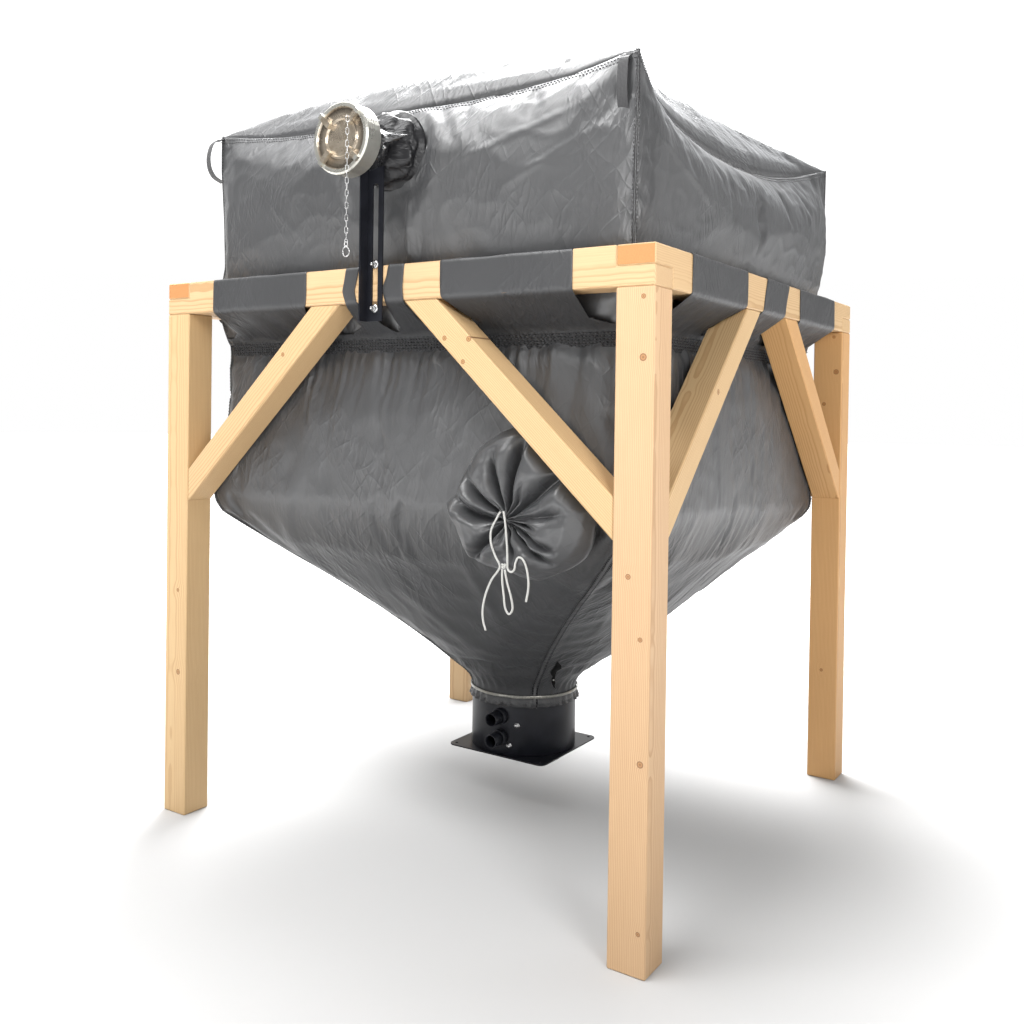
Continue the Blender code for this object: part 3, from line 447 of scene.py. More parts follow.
def spruce(name, draw):
    along, middle = grain_frame(name)
    look, tree, shader = new_material(f"spruce_{name}", Roughness=0.62)
    place = where(tree)
    pith = Vector((draw.uniform(-0.05, 0.05), draw.uniform(0.07, 0.16), 0))
    turn = along.rotation_difference(Vector((0, 0, 1))).to_matrix()
    turn = Matrix.Rotation(draw.choice([0, pi / 2, pi, -pi / 2]), 3, "Z") @ turn
    stood = mapped(tree, place, Rotation=turn.to_euler(), Location=-(turn @ middle) + pith)
    slow = mapped(tree, stood, Scale=(6.0, 6.0, 0.9))
    sway = node(tree, "ShaderNodeTexNoise", {"Vector": slow, "Scale": 1.0, "Detail": 2.0}).outputs[1]
    wandering = vectors(tree, "ADD", stood, vectors(tree, "MULTIPLY", sway, (0.012, 0.012, 0.0)))
    age = vectors(tree, "LENGTH", vectors(tree, "MULTIPLY", wandering, (1, 1, 0)))
    knot = nearest_knot(tree, place, name, draw)
    swerve = graded(tree, sums(tree, "DIVIDE", knot, 5.0), (0.0, 1.0), (0.30, 0.35), (1.0, 0.0))
    age = sums(tree, "MULTIPLY_ADD", swerve, 0.009, age)
    rings = sums(tree, "DIVIDE", age, RING_SPACING)
    uneven = sums(tree, "MULTIPLY", noise(tree, stood, 14.0, 1.0), 0.6)
    rings = sums(tree, "FRACT", sums(tree, "ADD", rings, uneven))
    year = graded(tree, rings, (0.0, EARLY_WOOD), (0.55, EARLY_WOOD), (0.86, LATE_WOOD), (0.97, LATE_WOOD),
                  (1.0, EARLY_WOOD))
    fibre = noise(tree, mapped(tree, stood, Scale=(420.0, 420.0, 9.0)), 1.0, 2.0)
    cloud = noise(tree, slow, 0.8, 2.0)
    calm = graded(tree, cloud, (0.3, 0.10), (0.7, 0.60))
    softened = blended(tree, calm, year, (*EARLY_WOOD, 1))
    streaked = blended(tree, graded(tree, fibre, (0.35, 0.0), (0.75, 0.34)), softened,
                       (0.40, 0.26, 0.13, 1))
    cut = graded(tree, knot, (0.0, (0.16, 0.08, 0.030)), (0.50, KNOT_WOOD), (0.85, (0.15, 0.075, 0.030)),
                 (1.0, EARLY_WOOD))
    inside = graded(tree, knot, (0.92, 1.0), (1.0, 0.0))
    knotty = blended(tree, inside, streaked, cut)
    if name in ORANGE_ENDS:
        sawn = blended(tree, sums(tree, "MULTIPLY", fibre, 0.6), (*END_GRAIN, 1), (0.30, 0.12, 0.040, 1))
        knotty = blended(tree, end_share(tree, place, name, along, middle), knotty, sawn)
    # Painted shade: a darker, warmer tint on the back right timber; the other pieces' tint varies a little
    # at random
    tint = (1.0, 0.82, 0.60, 1)
    if name not in SHADED_TIMBER:
        tint = (1.0, draw.uniform(0.95, 1.0), draw.uniform(0.90, 1.0), 1)
    tree.links.new(blended(tree, 1.0, knotty, tint, "MULTIPLY"), shader.inputs["Base Color"])
    add_relief(tree, shader, sums(tree, "MULTIPLY_ADD", rings, 0.35, fibre), 0.0004, 0.35)
    return look


def make_timber():
    for number, (name, piece) in enumerate(sorted(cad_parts.items())):
        if name.startswith(("post", "beam", "brace")):
            draw = np.random.default_rng(100 + number)
            piece.material_slots[0].material = spruce(name, draw)


make_timber()


# Bag: a box of coated polyester over a hopper, sewn from one roof, four upper and four lower
# panels. It is filled until it swells, gathered into a stitched band under the beams and
# clamped round the outlet. The cloth is simulated as one skin and cut at its seams.
SIDES = ("front", "right", "back", "left")
BAG_MIDDLE = (0, FRAME_Y, 1.3)
FILLER_HEIGHT = 1.905
FRAME_HEIGHT = 1.600
INNER = 0.703
BAG_TOP = 2.055
SEAM_HEIGHT = 1.415
BELLY = 0.045
TOP_BELLY = 0.012
EDGE_DIPS = (0.030, 0.125, 0.060, 0.115)
DIP_SKEW = 0.30
DIP_SPREAD = 4
ROOF_CROWN = 0.178
ROOF_SHOULDER = 0.42
SEAM_PULL = 0.045
# How proud the corner seams stand, on the lower panels and on the upper ones
SEAM_HEIGHTS = (0.0026, 0.0014)
NECK_HALF = 0.1704 / sqrt(2)
UPPER_ROWS = ((1.415, 0.668), (1.430, 0.674), (1.500, 0.690), (1.600, 0.698), (1.680, 0.701), (1.780, 0.703),
              (1.880, 0.704), (1.980, 0.704), (2.055, 0.704))
LOWER_ROWS = ((1.415, 0.668, 0.0), (1.375, 0.666, 0.0), (1.250, 0.672, 0.04), (1.100, 0.682, 0.05),
              (0.980, 0.691, 0.03), (0.930, 0.685, 0.03), (0.880, 0.650, 0.08), (0.760, 0.512, 0.15),
              (0.640, 0.380, 0.30), (0.540, 0.272, 0.50), (0.475, 0.200, 0.75), (0.420, 0.153, 0.95),
              (0.375, NECK_HALF, 1.0), (0.318, NECK_HALF, 1.0))
LEAN_ROWS = ((0.400, 0.0, 0.0, 0.0), (0.520, 0.0, -0.016, 0.035), (0.860, 0.0, -0.018, 0.030),
             (0.960, 0.0, 0.0, 0.004), (1.400, -0.004, 0.0, 0.008), (1.480, -0.006, 0.0, 0.004),
             (1.600, -0.012, 0.0, 0.002), (1.660, -0.016, 0.0, 0.016), (2.060, -0.016, 0.004, 0.022))
LEAN_CORNERS = ((-1, -1), (1, -1), (1, 1))
CLOTH_CELL = 0.0165
CLOTH_COLUMNS = 84
CLOTH_THICKNESS = 0.0012


def dip(side, u):
    return EDGE_DIPS[side] * (1 - u * u) * (1 - DIP_SKEW * u)


def leaned(points, half):
    """Moves points of the bag outwards as its corners stand out of their square."""
    heights = [row[0] for row in LEAN_ROWS]
    moved = points.copy()
    for column, (x, y) in enumerate(LEAN_CORNERS, start=1):
        out = np.interp(points[..., 2], heights, [row[column] for row in LEAN_ROWS])
        share = (1 + x * np.clip(points[..., 0] / half, -1, 1)) / 2
        share = share * (1 + y * np.clip(points[..., 1] / half, -1, 1)) / 2
        moved[..., 0] += x * out * share
        moved[..., 1] += y * out * share
    return moved


def turned(points, side):
    """Turns points built for the front to another side."""
    c, s = round(cos(side * pi / 2)), round(sin(side * pi / 2))
    return np.stack([c * points[..., 0] - s * points[..., 1], s * points[..., 0] + c * points[..., 1],
                     points[..., 2]], axis=-1)


def upper_grid(side):
    profile = smooth_path([(half, 0, z) for z, half in UPPER_ROWS], CLOTH_CELL)
    half = np.array([p.x for p in profile])[:, None]
    height = np.array([p.z for p in profile])[:, None]
    u = np.linspace(-1, 1, CLOTH_COLUMNS + 1)[None, :]
    share = np.clip((height - FRAME_HEIGHT) / (BAG_TOP - FRAME_HEIGHT), 0, 1)
    swell = (BELLY * np.sin(0.9 * pi * share) + TOP_BELLY * share ** 3) * (1 - u * u)
    grid = np.stack([u * half, -half - swell, height - dip(side, u) * share ** 2], axis=-1)
    return leaned(turned(grid, side), half)


def lower_grid(side):
    profile = smooth_path([(half, roundness * 0.1, z) for z, half, roundness in LOWER_ROWS], CLOTH_CELL)
    half = np.array([p.x for p in profile])[:, None]
    roundness = np.clip(np.array([p.y for p in profile])[:, None] * 10, 0, 1)
    height = np.array([p.z for p in profile])[:, None]
    turn = np.linspace(-1, 1, CLOTH_COLUMNS + 1)[None, :] * pi / 4
    reach = (1 - roundness) * half / np.cos(turn) + roundness * half * sqrt(2)
    grid = np.stack([reach * np.sin(turn), -reach * np.cos(turn), height + 0 * turn], axis=-1)
    return leaned(turned(grid, side), half)


def edge_ways(u, v):
    """For each side of a square sheet, how far along that side a point is, and how near to it."""
    return (u, -v), (v, u), (-u, v), (-v, -u)


def roof_grid():
    u = np.linspace(-1, 1, CLOTH_COLUMNS + 1)[None, :]
    v = u.T
    half = UPPER_ROWS[-1][1]
    top_swell = BELLY * sin(0.9 * pi) + TOP_BELLY
    x = u * (half + top_swell * (1 - v * v))
    y = v * (half + top_swell * (1 - u * u))
    sag = 0
    for side, (along, out) in enumerate(edge_ways(u, v)):
        sag = sag + dip(side, along) * ((1 + out) / 2) ** DIP_SPREAD
    crown = ROOF_CROWN * ((1 - u * u) * (1 - v * v)) ** ROOF_SHOULDER
    return leaned(np.stack([x, y, BAG_TOP - sag + crown], axis=-1), half)


def skin_grids():
    """Every panel of the bag as a grid of points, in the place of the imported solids."""
    grids = {"roof": roof_grid()}
    for side, name in enumerate(SIDES):
        grids[f"upper_{name}"] = upper_grid(side)
        grids[f"lower_{name}"] = lower_grid(side)[::-1]
    for grid in grids.values():
        grid[..., 1] += FRAME_Y
    return grids


def sew(grids):
    """One skin of all the panels, joined at their seams."""
    skin = bmesh.new()
    for grid in grids.values():
        corners = [[skin.verts.new(p) for p in row] for row in grid]
        for low, high in zip(corners, corners[1:]):
            for j in range(len(low) - 1):
                skin.faces.new((low[j], low[j + 1], high[j + 1], high[j]))
    bmesh.ops.remove_doubles(skin, verts=skin.verts, dist=0.0008)
    bmesh.ops.recalc_face_normals(skin, faces=skin.faces)
    return skin


def hold_weights(points):
    """How firmly each point of the skin is held: sewn, clamped and strapped places don't move."""
    x, y, z = points[:, 0], points[:, 1] - FRAME_Y, points[:, 2]
    hold = np.full(len(points), 0.06)
    hold = np.maximum(hold, np.clip(1 - np.abs(z - 1.408) / 0.035, 0, 1))
    hold = np.maximum(hold, np.clip((0.44 - z) / 0.06, 0, 1))
    hold = np.maximum(hold, 0.9 * np.exp(-(np.hypot(x, z - FILLER_HEIGHT) / 0.14) ** 4) * (y < -0.6))
    corner = np.hypot(np.abs(x) - 0.704, np.abs(y) - 0.704)
    hold = np.maximum(hold, 0.9 * np.exp(-(corner / 0.05) ** 2) * (z > 1.95))
    return hold


def point_finder(points):
    tree = KDTree(len(points))
    for index, point in enumerate(points):
        tree.insert(point, index)
    tree.balance()
    return tree


def seam_weights(points, grids):
    """1 along the seams, where the cloth is doubled and doesn't give, and 0 away from them."""
    edges = []
    for grid in grids.values():
        edges += [*grid[0], *grid[-1], *grid[:, 0], *grid[:, -1]]
    seams = point_finder(edges)
    far = np.array([seams.find(p)[2] for p in points])
    return np.exp(-(far / 0.02) ** 2)


def add_hold(sheet, **groups):
    """Gives each point of a sheet its weight in each named group."""
    for name, weights in groups.items():
        group = sheet.vertex_groups.new(name=name)
        for index, weight in enumerate(weights):
            group.add([index], float(weight), "REPLACE")


def simulated(sheet, frames, farthest, own_gap=None, **settings):
    """Where a sheet's points settle as cloth, each within a limit; the sheet is then removed."""
    start = np.array([v.co for v in sheet.data.vertices])
    cloth = sheet.modifiers.new("cloth", "CLOTH")
    for name, value in settings.items():
        setattr(cloth.settings, name, value)
    cloth.settings.vertex_group_mass = "hold"
    cloth.settings.effector_weights.gravity = 0.0
    cloth.collision_settings.use_collision = False
    if own_gap:
        cloth.collision_settings.use_self_collision = True
        cloth.collision_settings.self_distance_min = own_gap
    cloth.point_cache.frame_start = 1
    cloth.point_cache.frame_end = frames
    for step in range(1, frames + 1):
        bpy.context.scene.frame_set(step)
        bpy.context.view_layer.update()
    settled = sheet.evaluated_get(bpy.context.evaluated_depsgraph_get())
    move = np.array([v.co for v in settled.data.vertices]) - start
    bpy.data.objects.remove(sheet)
    bpy.context.scene.frame_set(1)
    far = np.linalg.norm(move, axis=1, keepdims=True)
    return start + move * np.minimum(1, farthest / np.maximum(far, 1e-9))


def filled(skin, grids):
    """The skin's points before and after it is filled with air; its cloth is cut a little too large."""
    start = np.array([v.co for v in skin.data.vertices])
    add_hold(skin, hold=hold_weights(start), seam=seam_weights(start, grids))
    end = simulated(skin, 24, 0.016, quality=6, mass=0.25, tension_stiffness=25, compression_stiffness=25,
                    shear_stiffness=8, bending_stiffness=0.5, tension_damping=8, compression_damping=8,
                    bending_damping=0.6, air_damping=4, pin_stiffness=1.0, vertex_group_shrink="seam",
                    shrink_min=-0.012, shrink_max=0.0, use_pressure=True, uniform_pressure_force=1.6)
    return start, against_frame(end)


def against_frame(points):
    """The filled cloth lies against the inside of the beams and braces, and bulges over them."""
    reach = np.interp(points[..., 2], (1.600, 1.640), (INNER - 0.002, INNER + 0.08))
    pressed = points - (0, FRAME_Y, 0)
    for axis in (0, 1):
        pressed[..., axis] = np.clip(pressed[..., axis], -reach, reach)
    return pressed + (0, FRAME_Y, 0)


def settle(grids):
    """The grids of the panels as the filled bag holds them."""
    start, end = filled(add_object("bag_skin", plain_mesh("bag_skin", sew(grids))), grids)
    skin_points = point_finder(start)
    settled = {}
    for name, grid in grids.items():
        nearest = [skin_points.find(p)[1] for p in grid.reshape(-1, 3)]
        settled[name] = end[nearest].reshape(grid.shape)
    return settled


def cloth_grid(grid, keep=None):
    """A sheet on a grid of points, with a UV map in metres; keep picks its cells."""
    made = bmesh.new()
    cut = made.loops.layers.uv.new("UVMap")
    rows, columns = grid.shape[:2]
    across = np.zeros((rows, columns))
    across[:, 1:] = np.cumsum(np.linalg.norm(np.diff(grid, axis=1), axis=2), axis=1)
    across -= across[:, -1:] / 2
    up = np.concatenate([[0], np.cumsum(np.linalg.norm(np.diff(grid[:, columns // 2], axis=0), axis=1))])
    corners = [[made.verts.new(p) for p in row] for row in grid]
    for i in range(rows - 1):
        for j in range(columns - 1):
            if keep is not None and not keep(i, j):
                continue
            spots = ((i, j), (i, j + 1), (i + 1, j + 1), (i + 1, j))
            face = made.faces.new([corners[a][b] for a, b in spots])
            face.smooth = True
            for loop, (a, b) in zip(face.loops, spots):
                loop[cut].uv = (across[a, b], up[a])
    bmesh.ops.delete(made, geom=[v for v in made.verts if not v.link_faces], context="VERTS")
    return made


def wall(piece, thickness):
    """Gives a sheet its thickness, inwards from the modelled face."""
    layer = piece.modifiers.new("wall", "SOLIDIFY")
    layer.thickness = thickness
    layer.offset = -1


def shaded(colour, share):
    return tuple(share * c for c in colour)


def cloth_look(name, colour, sheen, roughness=0.46):
    """Plain-woven polyester with a soft shine, duller on the hopper: threads, crinkles and dents."""
    look, tree, shader = new_material(name, Roughness=roughness, Sheen_Weight=sheen, Sheen_Roughness=0.35,
                                      Sheen_Tint=(0.92, 0.96, 1.0, 1))
    uv = where(tree, "UV")
    place = where(tree)
    height = node(tree, "ShaderNodeSeparateXYZ", {0: place}).outputs["Z"]
    shine = graded(tree, height, (0.335, 0.5), (0.345, 0.22), (0.78, 0.22), (0.96, 0.80))
    tree.links.new(shine, shader.inputs["Specular IOR Level"])
    threads = [stripes(tree, uv, 160.0, across, Distortion=0.4, Detail=1.0) for across in ("X", "Y")]
    weave = sums(tree, "MAXIMUM", *threads)
    cloud = noise(tree, place, 3.0, 3.0)
    base = graded(tree, cloud, (0.3, shaded(colour, 0.86)), (0.7, shaded(colour, 1.14)))
    woven = blended(tree, sums(tree, "MULTIPLY", weave, 0.25), base, (*shaded(colour, 1.5), 1))
    tree.links.new(woven, shader.inputs["Base Color"])
    patches = graded(tree, noise(tree, place, 4.5, 2.0), (0.40, 0.15), (0.62, 1.0))
    crinkle = sums(tree, "MAXIMUM", streaks(tree, uv, 28, 0.045, 0.10), streaks(tree, uv, -50, 0.060, 0.10))
    crinkle = sums(tree, "MULTIPLY", crinkle, patches)
    creases = sums(tree, "MULTIPLY", streaks(tree, uv, -12, 0.020, 0.20), patches)
    dents = noise(tree, mapped(tree, uv, Scale=(9.0, 2.6, 1.0)), 1.0, 2.0, 0.5)
    add_relief(tree, shader, weave, 0.0002, 0.3)
    for height, depth in ((creases, 0.0009), (crinkle, 0.0010), (dents, 0.0060)):
        add_relief(tree, shader, height, depth)
    return look


def streaks(tree, uv, lean, size, width):
    """Short thin ridges that all lean one way: 1 along their middles and 0 beside them."""
    laid = mapped(tree, uv, "TEXTURE", Rotation=(0, 0, radians(lean)), Scale=(size, 4.5 * size, 1.0))
    slow = noise(tree, laid, 1.0, 1.5, 0.45)
    far = sums(tree, "ABSOLUTE", sums(tree, "SUBTRACT", slow, 0.5))
    near = sums(tree, "SUBTRACT", 1.0, sums(tree, "MINIMUM", sums(tree, "DIVIDE", far, width), 1.0))
    return sums(tree, "POWER", near, 2.0)


def ripples(along, wavelength, seed):
    """A smooth uneven wave along a line, between about -1 and 1."""
    draw = np.random.default_rng(seed)
    total = 0
    for _ in range(4):
        total = total + np.sin(2 * pi * (along / (wavelength * draw.uniform(0.7, 1.7)) + draw.uniform(0, 1)))
    return total / 2.5


def rumple(a, b, wavelength, seed):
    """Soft ridges in every direction over a sheet: waves of like length, laid over each other."""
    draw = np.random.default_rng(seed)
    total = 0
    for _ in range(7):
        turn = draw.uniform(0, 2 * pi)
        pace = 2 * pi / (wavelength * draw.uniform(0.7, 1.6))
        total = total + np.sin(pace * (a * cos(turn) + b * sin(turn)) + draw.uniform(0, 2 * pi))
    return np.exp(-(total / 1.1) ** 2) - 0.45


def finer(grid, axis):
    """Twice as many cells along an axis, on a smooth curve through the points."""
    points = np.moveaxis(grid, axis, 0)
    padded = np.concatenate([2 * points[:1] - points[1:2], points, 2 * points[-1:] - points[-2:-1]])
    between = (9 * (padded[1:-2] + padded[2:-1]) - padded[:-3] - padded[3:]) / 16
    out = np.empty((2 * len(points) - 1, *points.shape[1:]))
    out[0::2], out[1::2] = points, between
    return np.moveaxis(out, 0, axis)


def outward_normals(grid):
    normal = np.cross(np.gradient(grid, axis=0), np.gradient(grid, axis=1))
    normal /= np.maximum(np.linalg.norm(normal, axis=-1, keepdims=True), 1e-9)
    return normal * np.sign(((grid - BAG_MIDDLE) * normal).sum(axis=-1).mean())


def gathered(x, z, seed):
    """Folds that hang from the band: close and sharp under it, each fading at its own depth."""
    below = SEAM_HEIGHT - 0.030 - z
    depth = 0.10 * np.exp(0.6 * ripples(x, 0.11, seed))
    close = ripples(x + 0.01 * ripples(z, 0.2, seed + 1), 0.030, seed + 2)
    wide = ripples(x + 0.15 * below * ripples(x, 0.7, seed + 3), 0.085, seed + 4)
    fallen = -np.maximum(below, 0)
    folds = 0.0040 * close * np.exp(fallen / depth) + 0.0046 * wide * np.exp(fallen / 0.26)
    return folds * np.clip(below / 0.02 + 1, 0, 1)


def neck_folds(x, z):
    """The hem below the clamp is ruffled, and small folds run up from the clamp."""
    ruffle = 0.0040 * (ripples(x, 0.022, 90) + 1.0) * np.clip((0.338 - z) / 0.010, 0, 1)
    pinched = 0.0022 * ripples(x, 0.030, 91) * np.exp(-((z - 0.376) / 0.018) ** 2) * (z > 0.356)
    crease = -0.0030 * np.exp(-((z - 0.408 - 0.02 * x) / 0.006) ** 2)
    return ruffle + pinched + crease


# Each long crease: its panel, its two ends as (along, height), how far it stands out, and its width
LONG_CREASES = (("upper_front", (0.090, 1.800), (0.057, 1.600), 0.012, 0.045),
                ("lower_front", (-0.056, 1.310), (0.026, 0.890), 0.0045, 0.030),
                ("upper_front", (0.600, 1.960), (0.200, 1.840), 0.0035, 0.020),
                ("upper_front", (0.640, 1.900), (0.330, 1.760), 0.0030, 0.018),
                ("upper_front", (-0.520, 1.900), (-0.300, 1.690), 0.0035, 0.022),
                ("upper_right", (-0.600, 1.880), (-0.250, 1.730), 0.0035, 0.022),
                ("lower_front", (-0.300, 1.200), (-0.250, 0.960), 0.0030, 0.025),
                ("lower_right", (-0.100, 1.250), (-0.060, 0.930), 0.0035, 0.025))


def creased(name, across, up):
    """Long folds that rise slowly on one side of a line and drop sharply on the other."""
    total = np.zeros_like(across)
    for panel, start, end, depth, width in LONG_CREASES:
        if panel != name:
            continue
        along = np.array(end) - start
        reach = np.hypot(*along)
        along = along / reach
        at = (across - start[0]) * along[0] + (up - start[1]) * along[1]
        off = (across - start[0]) * along[1] - (up - start[1]) * along[0]
        fade = np.clip(at / (0.3 * reach), 0, 1) * np.clip((reach - at) / (0.3 * reach), 0, 1)
        slope = np.where(off < 0, np.clip(1 + off / width, 0, 1), np.clip(1 - 5 * off / width, 0, 1))
        total = total + depth * np.minimum(1, 1.6 * fade) * slope ** 1.5
    return total


def pillow(name, grid):
    """Rolls the roof's edges and the top of the walls over towards each other."""
    rows, columns = grid.shape[:2]
    u = np.linspace(-1, 1, columns)[None, :]
    v = np.linspace(-1, 1, rows)[:, None]
    out = np.zeros_like(grid)
    for side, away in enumerate(((0, -1), (1, 0), (0, 1), (-1, 0))):
        if name == "roof":
            along, reach = edge_ways(u, v)[side]
            pull = (1 - along ** 4) * ((1 + reach) / 2) ** 9
        elif name == f"upper_{SIDES[side]}":
            pull = (1 - u ** 4) * np.clip((v - 0.35) / 0.65, 0, 1) ** 2.2
        else:
            continue
        out[..., 0] -= SEAM_PULL * away[0] * pull
        out[..., 1] -= SEAM_PULL * away[1] * pull
    return grid + out


def wrinkled(name, grid):
    """Adds the folds that are too fine for the simulated skin; edges stay where they are sewn."""
    seed = 7 * sorted(panels).index(name)
    grid = pillow(name, grid)
    grid = finer(grid, 1)
    if name.startswith("upper") or name == "roof":
        grid = finer(grid, 0)
    rows, columns = grid.shape[:2]
    across = grid[..., 0] if np.ptp(grid[..., 0]) > np.ptp(grid[..., 1]) else grid[..., 1]
    up = grid[..., 2] if name != "roof" else grid[..., 1]
    fold = 0.0016 * rumple(across, up, 0.13, seed) + 0.0045 * rumple(across, 0.8 * up, 0.42, seed + 1)
    fold = fold + creased(name, across, up)
    if name.startswith("lower"):
        fold = fold * np.clip((up - 0.37) / 0.05, 0, 1)
        fold = fold + gathered(across, up, seed + 10) + neck_folds(across, up)
    u = np.linspace(0, 1, columns)[None, :]
    v = np.linspace(0, 1, rows)[:, None]
    ends = (1 - v) * 40 if name.startswith("lower") else np.minimum(v, 1 - v) * 14
    sewn = np.clip(np.minimum(u, 1 - u) * 40, 0, 1) * np.clip(ends, 0, 1)
    return against_frame(grid + outward_normals(grid) * (fold * sewn)[..., None])


def make_bag(grids):
    for name, grid in grids.items():
        piece = add_piece(f"bag_{name}_cloth", cloth_grid(grid), bag_cloth)
        wall(piece, CLOTH_THICKNESS)
        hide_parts(f"bag_{name}")


bag_cloth = cloth_look("woven_polyester", (0.030, 0.0305, 0.032), 0.08)
panels = skin_grids()
panels = settle(panels)
panels = {name: wrinkled(name, grid) for name, grid in panels.items()}
make_bag(panels)


# Hangers: a band gathered under the beams, with sleeves and straps that go over them
# Each side's cloth is cut in one with its tabs: a wide sleeve by each post, and one or two
# straps between them. Five rows of stitches draw the band in round the bag.
HANGER_LINE = ((0.6700, 1.385), (0.6716, 1.415), (0.6782, 1.430), (0.6850, 1.437), (0.7010, 1.446),
               (0.7150, 1.455), (0.7350, 1.4665), (0.7645, 1.4845), (0.7905, 1.5010), (0.7984, 1.5080),
               (0.7984, 1.5400), (0.7984, 1.5700), (0.7984, 1.6020), (0.7500, 1.6022), (0.7040, 1.6022),
               (0.7025, 1.5900))
SLEEVE_EDGES = ((0.308, 0.640), (0.308, 0.640), (0.308, 0.625), (0.306, 0.604), (0.295, 0.595),
                (0.282, 0.591), (0.268, 0.592), (0.250, 0.593), (0.236, 0.594), (0.227, 0.594),
                (0.225, 0.594), (0.225, 0.594), (0.225, 0.594), (0.225, 0.594), (0.226, 0.593),
                (0.226, 0.593))
FRONT_STRAP_LEFT = ((-0.140, -0.008), (-0.140, -0.008), (-0.140, -0.008), (-0.118, -0.016), (-0.108, -0.022),
                    (-0.103, -0.026), (-0.099, -0.030), (-0.093, -0.036), (-0.086, -0.042), (-0.083, -0.045),
                    (-0.095, -0.053), (-0.088, -0.044), (-0.082, -0.036), (-0.082, -0.034), (-0.082, -0.033),
                    (-0.082, -0.033))
FRONT_STRAP_RIGHT = ((0.008, 0.140), (0.008, 0.140), (0.008, 0.140), (0.018, 0.122), (0.024, 0.113),
                     (0.028, 0.108), (0.032, 0.106), (0.040, 0.107), (0.047, 0.109), (0.051, 0.111),
                     (0.041, 0.107), (0.056, 0.109), (0.062, 0.112), (0.060, 0.111), (0.058, 0.110),
                     (0.058, 0.110))
MIDDLE_STRAP = ((-0.150, 0.130), (-0.150, 0.130), (-0.150, 0.130), (-0.124, 0.104), (-0.113, 0.092),
                (-0.107, 0.085), (-0.104, 0.080), (-0.101, 0.081), (-0.099, 0.084), (-0.097, 0.086),
                (-0.088, 0.096), (-0.078, 0.110), (-0.067, 0.124), (-0.064, 0.126), (-0.063, 0.126),
                (-0.063, 0.126))
SKIRT_KEYS = 3
HANGER_CELL = 0.0065
OPENING_ROUND = 0.024
OPENING_CELLS = 6
BAND_STITCHES = (1.3885, 1.3960, 1.4035, 1.4110, 1.4185)


def hanger_rows(tabs):
    """Even rows of (out, height, edges of every tab), from the band up and over the beam."""
    keys = [[*place, *[x for tab in tabs for x in tab[i]]] for i, place in enumerate(HANGER_LINE)]
    keys = np.array(keys)
    along = np.concatenate([[0], np.cumsum(np.hypot(*np.diff(keys[:, :2], axis=0).T))])
    at = np.linspace(0, along[-1], round(along[-1] / HANGER_CELL) + 1)
    rows = np.stack([np.interp(at, along, column) for column in keys.T], axis=1)
    rows[1:-1] = (rows[:-2] + 2 * rows[1:-1] + rows[2:]) / 4
    return rows


def hanger_grid(side, tabs):
    """Columns run from corner to corner; the cells between two tabs are kept only in the band."""
    rows = hanger_rows(tabs)
    ends = 0.669
    widths = np.diff([-ends, *rows[-1, 2:], ends])
    cells = [max(2, round(width / HANGER_CELL)) for width in widths]
    x = []
    for row in rows:
        edges = [-row[0], *row[2:], row[0]]
        steps = [np.linspace(a, b, n, endpoint=False) for a, b, n in zip(edges, edges[1:], cells)]
        x.append(np.concatenate([*steps, [edges[-1]]]))
    x = np.array(x)
    out, height = rows[:, :1], rows[:, 1:2]
    slope = np.gradient(rows[:, :2], axis=0)
    slope /= np.linalg.norm(slope, axis=1, keepdims=True)
    free = np.clip((1.500 - height) / 0.05, 0, 1) * np.clip((height - 1.418) / 0.02, 0, 1)
    drawn = np.exp(-((height - 1.437) / 0.022) ** 2)
    fold = 0.0035 * free * (ripples(x * (1 + 0.5 * (1.5 - height)), 0.075, 40 + side) + 0.4)
    fold += 0.0022 * drawn * ripples(x, 0.019, 60 + side)
    fold += 0.0010 * ripples(x + 0.6 * height, 0.16, 80 + side) * (height > 1.49)
    fold = np.maximum(fold, -0.0012) * np.clip((0.665 - np.abs(x)) / 0.04, 0, 1)
    corner = 0.009 * np.clip((np.abs(x) - out + 0.035) / 0.035, 0, 1) ** 2
    corner = corner * np.clip((1.47 - height) / 0.03, 0, 1)
    front = -(out - corner + fold * slope[:, 1:])
    points = turned(np.stack([x - np.sign(x) * corner, front, height - fold * slope[:, :1]], axis=-1), side)
    near = np.clip((1.500 - height) / 0.06, 0, 1)[..., None]
    points += (leaned(points, out) - points) * near
    points[..., 1] += FRAME_Y
    bounds = np.cumsum([0, *cells])
    top = HANGER_LINE[SKIRT_KEYS][1]

    def kept(i, j):
        for a, b in zip(bounds[0::2], bounds[1::2]):
            if a <= j < b:
                left = j - a if a else OPENING_CELLS
                right = b - 1 - j if b < bounds[-1] else OPENING_CELLS
                inward = 1 - (min(left, right) + 0.5) / OPENING_CELLS
                curve = OPENING_ROUND * (1 - sqrt(max(0, 1 - max(0, inward) ** 2)))
                return rows[i, 1] < top + curve
        return True

    return points, kept


def opened(look):
    """A look with its nodes and its shader, to be changed."""
    tree = look.node_tree
    return look, tree, next(part for part in tree.nodes if part.type == "BSDF_PRINCIPLED")


